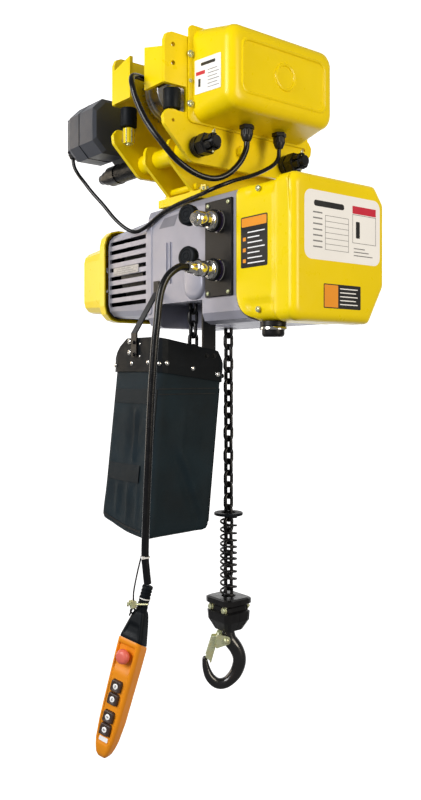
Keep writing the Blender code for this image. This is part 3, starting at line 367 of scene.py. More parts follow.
def rounded(corners, count=8):
    """An outline from (a, b, radius) corners, each rounded by an arc."""
    made = []
    for i, (a, b, radius) in enumerate(corners):
        here = Vector((a, b))
        before = (Vector(corners[i - 1][:2]) - here).normalized()
        after = (Vector(corners[(i + 1) % len(corners)][:2]) - here).normalized()
        half = before.angle(after) / 2
        centre = here + (before + after).normalized() * radius / math.sin(half)
        start = here + before * radius / math.tan(half) - centre
        turn = start.angle_signed(here + after * radius / math.tan(half) - centre)
        for step in range(count + 1):
            made.append(tuple(centre + Matrix.Rotation(-turn * step / count, 2) @ start))
    return made


def rectangle(a0, a1, b0, b1, radius, count=8):
    return rounded([(a0, b0, radius), (a1, b0, radius), (a1, b1, radius), (a0, b1, radius)], count)


def dense(outline, spacing):
    """The same outline with extra points on its long sides."""
    made = []
    for one, two in zip(outline, outline[1:] + outline[:1]):
        count = max(1, round(math.dist(one, two) / spacing))
        made += [tuple(Vector(one).lerp(Vector(two), i / count)) for i in range(count)]
    return made


def smooth_route(points, spacing):
    """Points every spacing or so along a smooth curve through the route's own points."""
    route = [Vector(p) for p in points]
    route = [2 * route[0] - route[1], *route, 2 * route[-1] - route[-2]]
    made = []
    for a, b, c, d in zip(route, route[1:], route[2:], route[3:]):
        count = max(1, round((c - b).length / spacing))
        for i in range(count):
            t = i / count
            made.append(0.5 * (2 * b + (c - a) * t + (2 * a - 5 * b + 4 * c - d) * t ** 2
                               + (3 * b - a - 3 * c + d) * t ** 3))
    made.append(route[-2])
    return made


def step_between(value, low, high):
    t = min(1.0, max(0.0, (value - low) / (high - low)))
    return t * t * (3 - 2 * t)


def fastener(name, kind, radius, place, axis, body, slot="bright_steel"):
    """A screw, rivet, hex bolt or nut whose head stands on a face at the place given."""
    def scaled(*points):
        return [(radius * a, radius * b) for a, b in points]

    shape = Shape()
    if kind == "rivet":
        dome = scaled((0.85, 0.35), (0.5, 0.52), (0, 0.58))
        shape.turned([(0, -0.5), (radius, -0.5), (radius, 0.3), *dome], place, axis, 20)
    elif kind == "pan":
        head = scaled((1, 0.3), (0.85, 0.55), (0.45, 0.66), (0.38, 0.3), (0, 0.25))
        shape.turned([(0, -0.5), (radius, -0.5), *head], place, axis, 24)
    else:
        washer = scaled((1.25, 0.14), (0.9, 0.15), (0, 0.15))
        shape.turned([(0, -0.5), (radius * 1.25, -0.5), *washer], place, axis, 28)
        shape.turned(scaled((0, 0), (1, 0), (1, 0.75), (0.88, 0.86), (0, 0.87)), place, axis, 6)
        if kind == "nut":
            shape.turned(scaled((0, 0), (0.55, 0), (0.55, 1.4), (0.45, 1.5), (0, 1.5)), place, axis, 16)
    return shape.piece(name, slot, body, bevel=radius * 0.04, angle=25 if kind in ("hex", "nut") else 50)


def fasteners(name, kind, radius, places, axis, slot="bright_steel"):
    for i, place in enumerate(places):
        fastener(f"{name}_{i}", kind, radius, place, axis, ROOT, slot)


# ---------------------------------------------------------------- cables
PENDANT_CABLE = [
    (126, -190.8, -290), (126, -203, -290.6), (126, -216, -297.5), (125.5, -227.5, -308),
    (125, -236.5, -324), (124.5, -242, -346), (123.5, -244.8, -375), (120, -247.8, -420),
    (114.5, -250.2, -500), (110.5, -252.2, -590), (106.8, -254, -680), (105, -254.8, -735),
    (105.9, -253.2, -762), (106.8, -251.2, -782.4),
]
LIMIT_CABLE = [
    (118, -58, -69), (118, -60, -82), (116, -72, -105), (111, -93, -126), (105, -118, -136),
    (99, -150, -132), (92, -185, -113), (78, -208, -82), (60, -222, -50), (46, -231, -16),
    (38, -234, 10), (27, -228, 28), (17, -213, 36), (11, -198, 38), (11.5, -187, 38),
    (16.5, -183.2, 38), (23, -183, 38),
]
MOTOR_CABLE = [
    (-231.5, -192, -40.2), (-232, -192.6, -52), (-228, -191.5, -66), (-218, -188.5, -81),
    (-203, -186, -96), (-186, -178, -118), (-166, -166, -143), (-147, -153, -170), (-128, -141, -189),
    (-109, -133, -197.5), (-90, -128, -194), (-70, -125.2, -186), (-50, -124.6, -178),
    (-25, -123.6, -170.5), (5, -122.8, -165), (38, -122, -161), (75, -122.5, -158), (100, -121, -154),
    (113, -108, -147), (118, -84, -136.5), (119, -54, -126), (119, -24, -113), (118.5, 2, -98),
    (118, 14, -84), (118, 16, -69),
]
STRAIN_WIRE = [(97.6, -257, -741), (98, -264.5, -765), (100.9, -273, -792), (102.3, -275, -812),
               (94.2, -276.5, -829.5)]


def cable(name, route, radius, replaced):
    path = smooth_route(route, 3)
    made = Shape().tube(path, radius, 18).piece(name, "black_rubber", ROOT, (replaced,), look=CABLE_JACKET)
    return made, [tuple(p * MM) for p in path]


def cables():
    pendant, path = cable("pendant_cord", PENDANT_CABLE, 6, "pendant_cable")
    length = sum(math.dist(a, b) for a, b in zip(path, path[1:]))
    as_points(path)
    cable("limit_switch_lead", LIMIT_CABLE, 5, "limit_switch_cable")
    cable("trolley_motor_lead", MOTOR_CABLE, 3.5, "trolley_motor_cable")
    wire = Shape().tube(smooth_route(STRAIN_WIRE, 3), 1.3, 10)
    wire.piece("strain_cord", "black_oxide", ROOT, ("strain_wire",), angle=50)
    tie = Shape().turned([(6.2, 1.1), (7.4, 1.1), (7.4, -1.1), (6.2, -1.1)], (105.1, -254.6, -741), UP, 28,
                         ring=True)
    tie.tube([(100.5, -257.5, -741), (97.4, -259.4, -741), (95.6, -257.2, -741), (98.6, -254.6, -741)], 1, 8)
    tie.box((106, -262.6, -743), (109.4, -258.6, -739))
    tie.piece("cable_tie", "nickel", ROOT, look=WHITE_PLASTIC, angle=50)
    x, y, z = 102.3, -275, -811
    clamp = Shape().box((x - 4, y - 4, z - 5.5), (x + 4, y + 4, z + 5.5))
    clamp.box((x - 5.2, y - 5.2, z + 1), (x + 1, y + 1, z + 6.5))
    clamp.piece("strain_clamp", "zinc_yellow", ROOT, bevel=0.7)
    along = Vector((20, 25, 0)).normalized()
    start = Vector((x - 5, y - 6.2, z))
    bolt = Shape().turned([(0, -1.5), (3.4, -1.5), (3.4, 1.6), (0, 1.6)], start, along, 6)
    threads = [(0, 0)]
    for k in range(28):
        threads += [(1.9, 1.1 * k + 0.2), (1.6, 1.1 * k + 0.75)]
    bolt.turned([*threads, (0, 31)], start, along, 14)
    bolt.turned([(1.4, 11), (3.2, 11), (3.2, 13.2), (1.4, 13.2)], start, along, 6, ring=True)
    bolt.piece("strain_clamp_bolt", "zinc_yellow", ROOT)


# ---------------------------------------------------------------- chain, spring, block and hook
LINK_PITCH = 21
LINK_WIRE = 3.2


def chain_links(name, y, top, count, body, replaced):
    """Separate welded links, each a round bar, with the weld's small swelling on one side."""
    lane = 10.8 - LINK_WIRE
    bend = LINK_PITCH / 2 + LINK_WIRE - 0.15 - lane
    path = arc((0, bend), lane, 0, 180, 10) + arc((0, -bend), lane, 180, 360, 10)
    first = top - LINK_PITCH / 2 + 0.4 - 2 * LINK_WIRE
    sizes = [LINK_WIRE + (0.35 if k in (10, 11) else 0) for k in range(len(path))]
    shape = Shape()
    for i in range(count):
        middle = first - i * LINK_PITCH
        turn = 0.06 * math.sin(i * 2.3)
        points = []
        for a, b in path:
            across = a * math.cos(turn)
            aside = a * math.sin(turn)
            points.append((across, y + aside, middle + b) if i % 2 else (aside, y + across, middle + b))
        shape.tube(points, sizes, 12, closed=True)
    return shape.piece(name, "black_oxide", body, (replaced,))


def stop_spring():
    top, bottom = -719.3, -861.7
    coil, steps = 14.4, 11 * 28
    points = []
    for i in range(steps + 1):
        angle = 2 * math.pi * i / 28
        share = i / steps
        eased = share + 0.028 * math.sin(2 * math.pi * share)
        points.append((coil * math.cos(angle), coil * math.sin(angle), top + (bottom - top) * eased))
    spring = Shape().tube(points, 2.0, 12).piece("coil_spring", "black_oxide", "hook_block", ("stop_spring",))
    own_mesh(spring)


HOOK_TURN = math.radians(51.5)
BLOCK_BOLT_Z = -884.5


def hook():
    """Forged hook: a tapering round bar, its shank and swivel collar."""
    spine = [(0, -922), (0, -934), (3, -946), (13, -960), (19.5, -976), (19, -992), (11, -1010), (-4, -1024),
             (-20, -1026), (-33, -1016), (-40, -1001), (-43, -986), (-43.5, -979)]
    radii = [10.5, 12.3, 13.3, 13, 12.5, 12.2, 11.5, 10.3, 10, 9.4, 8.3, 6.6, 4.4]
    route = smooth_route([(u, 0, z) for u, z in spine], 2.5)
    sizes = []
    for i in range(len(route)):
        share = i / (len(route) - 1) * (len(radii) - 1)
        k = min(int(share), len(radii) - 2)
        sizes.append(radii[k] + (radii[k + 1] - radii[k]) * (share - k))
    route += [route[-1] + Vector((0, 0, h)) for h in (2, 3.2)]
    sizes += [3.2, 1.2]
    shape = Shape().tube(route, sizes, 24)
    shape.turned([(0, -889), (17, -889), (18, -890), (18, -905.5), (17, -906.5), (11.8, -906.5), (11.8, -930),
                  (0, -934)], (0, 0, 0), UP, 40)
    shape.move(Matrix.Rotation(HOOK_TURN, 4, "Z"))
    shape.piece("forged_hook", "black_oxide", "swivel_hook", ("swivel_hook",), look=HOOK_PAINT)


def in_hook(u, across, z):
    return (u * math.cos(HOOK_TURN) - across * math.sin(HOOK_TURN),
            u * math.sin(HOOK_TURN) + across * math.cos(HOOK_TURN), z)


def hook_block_details():
    across = Vector((-math.sin(HOOK_TURN), math.cos(HOOK_TURN), 0))
    for side, way in (("far", 1), ("near", -1)):
        pin_end = in_hook(-4, way * 18.6, -943)
        fastener(f"latch_pin_head_{side}", "rivet", 5.2, pin_end, way * across, "safety_latch", "zinc_yellow")
    for side, x in (("left", -19), ("right", 19)):
        for kind, y in (("hex", -25.2), ("nut", 25.2)):
            fastener(f"block_{'bolt' if y < 0 else 'nut'}_{side}", kind, 5.4, (x, y, BLOCK_BOLT_Z),
                     (0, math.copysign(1, y), 0), "hook_block", "zinc_yellow")
    disc = [(13.4, -712.6), (14.2, -712), (25.4, -712), (26.5, -713), (26.5, -716), (25.4, -717), (14, -717),
            (13.4, -716.4)]
    Shape().turned(disc, (0, 0, 0), UP, 56, ring=True).piece(
        "stop_plate", "black_rubber", "stop_disc", ("stop_disc",))


def chains_and_hook():
    chain_links("load_links", 0, -298, 27, "hook_block", "load_chain")
    chain_links("slack_links", -81.4, -258, 15, "slack_chain", "slack_chain")
    stop_spring()
    hook()
    hook_block_details()


# ---------------------------------------------------------------- trolley
TROLLEY_Y = -34
NEAR_FACE = 80.6
SHAFT_Z = -82
SHAFT_REACH = 100
WHEEL_Z = 45
WHEEL_REACH = 62.5
ROLLER_REACH = 141


def control_box():
    """Deep-drawn enclosure: flange, tapering walls, rounded shoulder and an embossed lid panel."""
    def section(x, inset, radius, drop=0.0):
        outline = rectangle(-146 + inset, 113 - inset, -42 + inset + drop, 115 - inset - drop, radius, 9)
        return [(x, a, b) for a, b in outline]
    sections = [section(80.6, -8, 10, 6), section(82.9, -8, 10, 6), section(83.5, -7.4, 9.5, 6),
                section(83.7, 0.2, 22), section(84.6, 1.2, 22)]
    for i in range(1, 8):
        sections.append(section(84.6 + 64 * i / 7, 1.2 + 9 * i / 7, 22 + 4 * i / 7))
    for degrees in (12, 24, 36, 48, 60, 72, 82, 90):
        t = math.radians(degrees)
        inset = 10.2 + 19.8 * (1 - math.cos(t))
        sections.append(section(148.6 + 19.4 * math.sin(t), inset, 26 - 9 * t / 1.57))
    for x, inset, radius in ((168, 33, 15), (169.2, 34, 14.5), (169.8, 35.6, 14), (169.2, 37.2, 13.5),
                             (166.9, 38.6, 13), (166.6, 40.5, 12)):
        sections.append(section(x, inset, radius))
    box = Shape().loft(sections)
    box.turned([(17.4, -1), (18.6, 1.4), (20.8, 2.4), (23, 1.4), (24.2, -1)], (166.8, -15, 36), NEAR, 56,
               ring=True)
    box.piece("control_box_shell", "paint_yellow", ROOT, ("trolley_control_box",))
    fasteners("box_screw", "pan", 6, [(83.4, y, z) for y in (-150.6, 117.6) for z in (68, -14)], NEAR,
              "zinc_yellow")
    fastener("box_flange_screw", "pan", 3.4, (83.4, -150.6, 24), NEAR, ROOT, "zinc_yellow")


def gland(name, place, replaced):
    x, y, z = place
    shape = Shape().turned([(0, 0), (12.6, 0), (13, -0.6), (13, -6.4), (12.6, -7), (0, -7)], place, UP, 6)
    rings = circle(10.4, 36, (x, y)), circle(9.6, 36, (x, y))
    shape.plate([rings[0][i] if i % 3 else rings[1][i] for i in range(36)], z - 17.5, z - 8.2, "Z")
    shape.turned([(0, -6), (9.4, -6), (9.4, -18), (9, -20.5), (7.6, -24), (6.4, -26.6), (5, -27), (0, -27)],
                 place, UP, 36)
    shape.piece(name, "black_plastic", ROOT, (replaced,), bevel=0.3)


def castle_nut(name, y, replaced):
    """Washers, hexagon, slotted crown and split pin on the near end of a cross shaft."""
    place = (0, y, SHAFT_Z)
    shape = Shape()
    for x in (NEAR_FACE + i * 4.1 for i in range(3)):
        washer = [(10.6, x), (17.2, x), (17.6, x + 0.5), (17.6, x + 3.3), (17.2, x + 3.8), (10.6, x + 3.8)]
        shape.turned(washer, place, NEAR, 40, ring=True)
    x = NEAR_FACE + 12.6
    shape.turned([(10.6, x), (17, x), (18.6, x + 1.6), (18.6, x + 18), (16.8, x + 20), (10.6, x + 20)],
                 place, NEAR, 6, ring=True)
    for start in range(9, 360, 60):
        wedge = arc((y, SHAFT_Z), 14.4, start, start + 42, 6) + arc((y, SHAFT_Z), 10.7, start + 42, start, 6)
        shape.plate(wedge, x + 19, NEAR_FACE + 45.4, "X")
    shape.piece(name, "black_oxide", ROOT, (replaced,), bevel=0.4, angle=28)
    x = NEAR_FACE + 41
    bent = [(x, y, -99), (x, y, -64), (x + 2, y + 2, -62), (x, y + 4, -64), (x, y + 3, -68)]
    Shape().tube(bent, 1.4, 10).piece(name + "_split_pin", "zinc_yellow", ROOT)


def cross_shaft(name, y, replaced):
    place = (0, y, SHAFT_Z)
    profile = [(0, 133), (8.6, 133), (9.5, 132)]
    for i in range(14):
        profile += [(9.5, 131 - 2 * i), (8.8, 130 - 2 * i)]
    profile += [(9.5, 80.5), (11.5, 80), (11.5, -NEAR_FACE)]
    for x in (-81 - i * 4 for i in range(19)):
        profile += [(16.2, x), (17, x - 0.5), (17, x - 3), (16.2, x - 3.5)]
    profile += [(13, -157.2), (13, -158), (18.4, -158.6), (18.4, -185), (13.4, -187), (13.4, -204),
                (9.5, -204.5), (9.5, -220.5), (8.5, -222), (0, -222)]
    Shape().turned(profile, place, NEAR, 40).piece(name, "black_oxide", ROOT, (replaced,))
    sleeves = Shape()
    for radius, low, high in ((17.5, -71.6, -38.6), (17.5, 38.6, 71.6), (16, -29.6, 29.6)):
        sleeves.turned([(11.8, low), (radius, low), (radius, high), (11.8, high)], place, NEAR, 40, ring=True)
    sleeves.piece(name + "_sleeves", "paint_yellow", ROOT, bevel=0.4)


def gear_teeth(shape, centre, teeth, module, phase, low, high, bore):
    pitch = 2 * math.pi / teeth
    flank = ((-0.95, 0.26), (-0.6, 0.225), (0.2, 0.165), (0.75, 0.09))
    points = []
    for tooth in range(teeth):
        for way, side in ((-1, flank), (1, reversed(flank))):
            points += [(module * (teeth / 2 + step), phase + (tooth + way * half) * pitch)
                       for step, half in side]
    outer = [(centre[0] + r * math.cos(a), centre[1] + r * math.sin(a)) for r, a in points]
    inner = [(centre[0] + bore * math.cos(a), centre[1] + bore * math.sin(a)) for _, a in points]
    shape.loft([[(x, a, b) for a, b in outline] for x, outline in
                ((low, inner), (low, outer), (high, outer), (high, inner))], closed=True)


def wheel(name, side, way):
    y = TROLLEY_Y + way * WHEEL_REACH
    rim = [(50.6, 59.4), (52, 58)] if side > 0 else [(40, 55.5), (51.2, 55), (52, 54.2)]
    profile = [(10.9, 71.4), (17.4, 71.4), (18, 70.8), (18, 66.5), (40, 66.5), *rim, (52, 52), (51, 51),
               (47, 50.4), (45.2, 48.6), (44.2, 27), (43.4, 26), (31, 26), (29, 27), (26, 34), (21, 34),
               (20, 33), (20, 25), (19.4, 24), (10.9, 24)]
    shape = Shape().turned(profile, (0, y, WHEEL_Z), (side, 0, 0), 72, ring=True)
    if side < 0:
        phase = 0 if way < 0 else math.pi + math.pi / 27
        gear_teeth(shape, (y, WHEEL_Z), 27, 125 / 36, phase, -66, -55.6, 39)
    return shape.piece(name + "_turned", "bright_steel", name, (name,))


def guide_roller(name, side, way):
    place = (side * 65, TROLLEY_Y + way * ROLLER_REACH, 0)
    profile = [(6.5, 10), (12.6, 10), (14.2, 9), (14.6, 7.6), (14.6, -21.6), (14.2, -23), (12.6, -24),
               (6.5, -24)]
    roller = Shape().turned(profile, place, UP, 48, ring=True)
    roller.piece(name + "_turned", "black_rubber", name, (name,))
    spacer = Shape().turned([(0, -25.6), (9.2, -25.6), (10.4, -26.4), (10.4, -51), (9.4, -52.2), (0, -52.2)],
                            place, UP, 6)
    spacer.turned([(0, -52), (5, -52), (5, -55), (0, -55.6)], place, UP, 20)
    spacer.piece(name + "_spacer", "zinc_yellow", ROOT, bevel=0.4)


def trolley():
    control_box()
    gland("limit_switch_gland", (118, -58, -40.8), "gland_limit_switch")
    gland("motor_lead_gland", (118, 16, -40.8), "gland_motor_lead")
    for label, way in (("front", -1), ("rear", 1)):
        y = TROLLEY_Y + way * SHAFT_REACH
        castle_nut(f"slotted_nut_{label}", y, f"castle_nut_{label}")
        cross_shaft(f"turned_shaft_{label}", y, f"cross_shaft_{label}")
        for where, side in (("near", 1), ("far", -1)):
            wheel(f"wheel_{where}_{label}", side, way)
            guide_roller(f"guide_roller_{where}_{label}", side, way)
            fastener(f"frame_bolt_{label}_{where}", "hex", 9.4, (side * 51, -33.5 + way * 61.5, -145.5), UP,
                     ROOT, "zinc_yellow")
    corners = [(-223.6, y, z) for z in (-40, 18) for y in (-206, -137)]
    fasteners("terminal_screw", "pan", 3.2, corners, (-1, 0, 0))
    lid = Shape().plate([(-195.6, -60.6), (-148, -60.6), (-127.4, -40), (-127.4, 18), (-148, 38.6),
                         (-195, 38.6), (-215.6, 18), (-215.6, -40)], -171.5, -169, "X")
    lid.piece("terminal_lid_seam", "motor_slate", ROOT, bevel=0.5, look=LOOKS["black_rubber"])
    Shape().turned([(0, 0), (9.6, 0), (9.9, -0.5), (9.9, -5), (8.4, -5.6), (7.2, -10), (4.4, -12), (0, -12)],
                   (-231.5, -192, -38), UP, 28).piece("terminal_gland", "black_plastic", ROOT)


# ---------------------------------------------------------------- hoist body
CONNECTOR_X = 126
BODY_FRONT = -120
LIMITER = (222, -94, -375.4)


def body_outline(inset, count):
    front, back = BODY_FRONT + inset, 80 - inset
    bottom, top = -375 + inset, -160 - inset
    return rounded([(front, bottom, 18), (back - 34, bottom, 8), (back, bottom + 58, 8), (back, top - 26, 8),
                    (back - 20, top, 8), (front, top, 16)], count)


def cover_left_edge(z):
    """X of the cover's seam at a height: straight, then round the lower corner."""
    corner, drop = 51.4, min(-326 - z, 49.6)
    return 163.6 + (corner - math.sqrt(corner ** 2 - drop ** 2) if drop > 0 else 0)


def cover_depth(x, z):
    """How far the cover's front stands in from its fullest section."""
    depth = 3.2 * (1 - step_between(x, 249, 260))
    for low, high in ((-178, -143), (-400, -344)):
        inside = step_between(x, 186, 196) * (1 - step_between(x, 244, 254))
        inside *= step_between(z, low - 3, low + 3) * (1 - step_between(z, high - 3, high + 3))
        depth += 5 * inside
    return depth


def control_cover():
    """Cover with a fuller right part, two recessed screws and a rounded lower seam corner."""
    stations = [0, 0.4, 0.8] + [0.8 + 5.2 * i for i in range(1, 22)]
    sections = []
    base = dense(body_outline(-3.8, 10), 6)
    for k, reach in enumerate(stations):
        row = []
        for a, b in base:
            left = cover_left_edge(b)
            x = left + (284 - left) * reach / stations[-1]
            depth = cover_depth(x, b) + (1.0, 0.4, 0)[min(k, 2)]
            lift = 3.2 * (1 - step_between(x, 249, 260))
            inward = depth * step_between(-a, 80, 112) if a < 0 else -lift * step_between(a, 40, 76)
            row.append((x, a + inward,
                        b - lift * step_between(b, -193, -165) + lift * step_between(-b, 345, 370)))
        sections.append(row)
    for degrees in (15, 30, 45, 60, 75, 90):
        t = math.radians(degrees)
        outline = dense(body_outline(-3.8 + 13 * (1 - math.cos(t)), 10), 6)
        fitted = fit_count(outline, len(base))
        sections.append([(284 + 13 * math.sin(t), a, b) for a, b in fitted])
    Shape().loft(sections).piece("cover_shell", "paint_yellow", ROOT, ("control_cover",), angle=50)
    for z in (-171, -358):
        fastener(f"cover_screw_{-z}", "pan", 4.8, (214, -118, z), FRONT, ROOT, "zinc_yellow")


def fit_count(outline, count):
    """Resample an outline to a number of points, keeping its first point."""
    closed = outline + outline[:1]
    lengths = [0.0]
    for one, two in zip(closed, closed[1:]):
        lengths.append(lengths[-1] + math.dist(one, two))
    made = []
    k = 0
    for want in (lengths[-1] * i / count for i in range(count)):
        while lengths[k + 1] < want:
            k += 1
        share = (want - lengths[k]) / max(1e-9, lengths[k + 1] - lengths[k])
        made.append(tuple(Vector(closed[k]).lerp(Vector(closed[k + 1]), share)))
    return made


def connector(name, z, tip, replaced):
    """Nickel plug and socket: flange, ribbed coupling ring and cable clamp."""
    base = (CONNECTOR_X, BODY_FRONT - 4.8, z)
    length = base[1] - tip
    profile = [(0, length), (8, length), (9.2, length - 1.2), (9.6, length - 2.4), (9.6, 50.6), (8.8, 50),
               (8.8, 49), (12, 47.6), (12.8, 46.4), (12.8, 31), (12, 29.6), (10.6, 29), (10.6, 21)]
    for h in (20 - i * 2.4 for i in range(5)):
        profile += [(14.4, h), (15, h - 0.6), (15, h - 1.4), (14.4, h - 2)]
    profile += [(12.8, 7.4), (12.8, 4.4), (17.4, 3.9), (18, 3.2), (18, 0), (0, 0)]
    Shape().turned(profile, base, FRONT, 56).piece(name, "nickel", ROOT, (replaced,))
    gasket = [(13, 4.2), (16.4, 4.2), (16.9, 5), (16.4, 5.8), (13, 5.8)]
    Shape().turned(gasket, base, FRONT, 48, ring=True).piece(
        name + "_gasket", "black_rubber", ROOT, look=DARK_VIOLET)
    places = [(x, base[1] - 2.8, y) for x, y in arc((CONNECTOR_X, z), 15.4, 45, 315, 3)]
    fasteners(f"{name}_screw", "pan", 1.5, places, FRONT)


def dust_cap(name, z, rise, body):
    """Rubber cap with a ribbed rim, tied by a strap to a loop round its connector."""
    loop = [(16, -136), (18.2, -136), (18.6, -136.5), (18.6, -139.5), (18.2, -140), (16, -140)]
    shape = Shape().turned(loop, (CONNECTOR_X, 0, z), (0, 1, 0), 40, ring=True)
    centre, facing = (94.4, -164, z + rise), (0.25, -1, 0.1)
    shape.turned([(0, 5.6), (9, 5.8), (14.6, 5.6), (16.4, 4.6), (17.2, 3), (17.2, -2), (16.6, -2.6),
                  (16.6, -6.2), (17.2, -6.8), (16.4, -7), (14.8, -7), (14.5, -6.4), (14.5, 2), (0, 2)],
                 centre, facing, 44)
    for radius in (5.2, 10.6):
        shape.turned([(radius - 0.9, 5.4), (radius, 6.5), (radius + 0.9, 5.4)], centre, facing, 40, ring=True)
    strap = [(108.4, -138, z + 0.4 * rise), (101, -148, z + 0.8 * rise), (94, -168, z + rise + 0.4)]
    shape.tube(smooth_route(strap, 1.5), 2.4, 12)
    shape.piece(name + "_moulded", "black_rubber", body, (name,))


def plate_on_motor(name, outline, lifts, look, bevel=0.0):
    """A flat plate that follows the slope of the motor casing's front."""
    Shape().loft([[(x, -117 + 5 * (-88 - x) / 137 - lift, z) for x, z in outline] for lift in lifts]).piece(
        name, "bright_steel", ROOT, bevel=bevel, look=look)


def casing_details():
    """Cast features on the grey casings: chain guide boss, a thin dark sheet painted as the shade of the
    lug's hollow, rib, seams, screws and rating plate.
    """
    layers = [(y, rectangle(27 + inset, 86 - inset * 0.4, -333 + inset, -266 - inset, 26 - inset, 8))
              for y, inset in ((-119.4, 0), (-121.6, 0.4), (-124.4, 2.4), (-126.4, 6), (-127.4, 11))]
    Shape().stack(layers, "Y").piece("chain_guide_boss", "cast_grey", ROOT, angle=60)
    # The lug's hollow is not cut: a thin sheet of darker grey lies on the casing as painted shade.
    wedge = dense([(-50, -199), (-34, -182), (8, -180), (-4, -199)], 8)
    Shape().plate(wedge, -119.7, -120.3, "Y").piece(
        "casting_hollow_painted_shade", "cast_grey", ROOT, bevel=0.2, look=RECESS_PAINTED_SHADE)
    for i, x in enumerate((-28, -17)):
        Shape().stack([(-119.6, rectangle(x, x + 3.4, -300, -226, 1.2, 3)),
                       (-122.4, rectangle(x + 0.6, x + 2.8, -299, -227, 1, 3))], "Y").piece(
            f"casting_rib_{i}", "cast_grey", ROOT, bevel=0.5)
    Shape().stack([(-119.9, rectangle(-88, -72, -352, -186, 6, 5)),
                   (-121.4, rectangle(-87, -73, -350, -188, 5, 5))], "Y").piece(
        "casting_band", "cast_grey", ROOT, bevel=0.5)
    seal = Shape().plate(rectangle(-112.4, 72.4, -349.4, -181.6, 25, 10), -236.36, -236.04, "X")
    seal.piece("fan_cover_seal", "black_rubber", ROOT)
    fasteners("plate_screw", "pan", 3.6, [(x, -124.3, z) for z in (-182, -326) for x in (97, 149)], FRONT,
              "zinc_yellow")
    plate_on_motor("rating_plate", rectangle(-214, -122, -268, -253, 2, 3), (-0.3, 1.1), PLATE_GREY, 0.2)
    for i in range(3):
        rule = rectangle(-208 + 6 * i, -132 - 9 * i, -265.6 + 4 * i, -264.2 + 4 * i, 0.5, 2)
        plate_on_motor(f"rating_plate_rule_{i}", rule, (1.0, 1.25), GREY_PRINT)
    cap = [(0, -0.6), (19.8, -0.6), (20.5, -1.2), (20.5, -8.4), (19.8, -9), (18.4, -9.4), (18.4, -10.6),
           (17.6, -11), (17.6, -21), (16.6, -23.4), (14.4, -25), (0, -25)]
    Shape().turned(cap, LIMITER, UP, 48).piece("limiter_cap", "black_plastic", ROOT, ("load_limiter_cap",))
    ring = [(17.8, -9.6), (20.9, -9.8), (21.4, -10.6), (21.4, -13.6), (20.8, -14.4), (17.8, -14.6)]
    Shape().turned(ring, LIMITER, UP, 48, ring=True).piece("limiter_ring", "nickel", ROOT)


def hoist_body():
    control_cover()
    for where, z, tip, rise in (("upper", -211, -178, 11), ("lower", -290, -190, 22)):
        connector(f"connector_{where}_turned", z, tip, f"connector_{where}")
        dust_cap(f"dust_cap_{where}", z, rise, f"dust_cap_{where}")
    casing_details()


# ---------------------------------------------------------------- labels
def print_sheet(place, right):
    """Returns a function that puts a thin rounded patch some way across and up from a place."""
    place, right, up = Vector(place), Vector(right), Vector(UP)
    out = right.cross(up).normalized()

    def patch(name, look, a, b, width, height, radius, layer=2):
        outline = rectangle(0, width, 0, height, radius, 5)
        Shape().loft([[place + right * (a + u) + up * (b + v) + out * lift for u, v in outline]
                      for lift in (0.12 * layer - 0.3, 0.12 * layer + 0.1)]).piece(
            name, "paint_yellow", ROOT, look=look)
    return patch


def labels():
    """Plain panels with coloured bars and rules where the real ones are printed; no lettering."""
    patch = print_sheet((297, -101, -286), (0, 1, 0))
    patch("rating_label", WHITE_LABEL, 0, 0, 170, 104, 14, 1)
    patch("rating_label_header", RED_LABEL, 105, 78, 55, 12, 1)
    for i, (a, b, width, height) in enumerate(((105, 32, 55, 0.9), (105, 76, 55, 0.9), (105, 32, 0.9, 45),
                                               (159.2, 32, 0.9, 45))):
        patch(f"rating_label_frame_{i}", GREY_PRINT, a, b, width, height, 0.3)
    for i in range(7):
        patch(f"rating_label_rule_{i}", GREY_PRINT, 44, 16 + 8.6 * i, 52, 0.8, 0.3)
        patch(f"rating_label_entry_{i}", GREY_PRINT, 18, 18 + 8.6 * i, 20, 2.2, 0.6)
    for i, a in enumerate((44, 95.4)):
        patch(f"rating_label_edge_{i}", GREY_PRINT, a, 16, 0.8, 52, 0.3)
    patch("rating_label_block", BLACK_LABEL, 113, 40, 9, 26, 1.5)
    patch("rating_label_title", BLACK_LABEL, 20, 80, 66, 9, 4)
    for i in range(3):
        patch(f"rating_label_note_{i}", GREY_PRINT, 108, 12 + 5.4 * i, 44 - 9 * i, 1.6, 0.5)
    patch("caution_label", BLACK_LABEL, 41, -72, 83, 37, 1.5, 1)
    patch("caution_label_field", ORANGE_LABEL, 42.5, -70.5, 30, 34, 1)
    for i in range(5):
        patch(f"caution_label_line_{i}", WHITE_LABEL, 77, -66 + 6 * i, 40 - 4 * (i % 2), 1.6, 0.5)

    patch = print_sheet((176, -120.7, -292), NEAR)
    patch("panel_label", BLACK_LABEL, 0, 0, 62, 80, 3, 1)
    patch("panel_label_header", ORANGE_LABEL, 2, 64, 58, 14, 2)
    for i in range(7):
        patch(f"panel_label_line_{i}", WHITE_LABEL, 16, 6 + 8 * i, 40 - 6 * (i % 3), 1.8, 0.6)
    for i in range(3):
        patch(f"panel_label_mark_{i}", ORANGE_LABEL, 5, 8 + 17 * i, 7, 6, 1)

    patch = print_sheet((88, -145 + 4 * 9.5 / 66 - 0.5, 0), Vector((66, 9.5, 0)).normalized())
    patch("box_label", WHITE_LABEL, 0, 0, 58, 56, 1.5, 1)
    patch("box_label_header", RED_LABEL, 3, 30, 20, 6, 0.6)
    patch("box_label_block", BLACK_LABEL, 8, 11, 5, 13, 0.8)
    patch("box_label_title", BLACK_LABEL, 14, 44, 32, 5, 2)
    for i in range(6):
        patch(f"box_label_line_{i}", GREY_PRINT, 29, 6 + 5.6 * i, 25 - 4 * (i % 2), 1.2, 0.4)


# ---------------------------------------------------------------- chain bag
BAG_TOP, BAG_BOTTOM = -446, -733


def bag_share(z):
    return max(0.0, (BAG_TOP - z) / (BAG_TOP - BAG_BOTTOM))


def ridge(value, middle, width):
    return math.exp(-((value - middle) / width) ** 2)


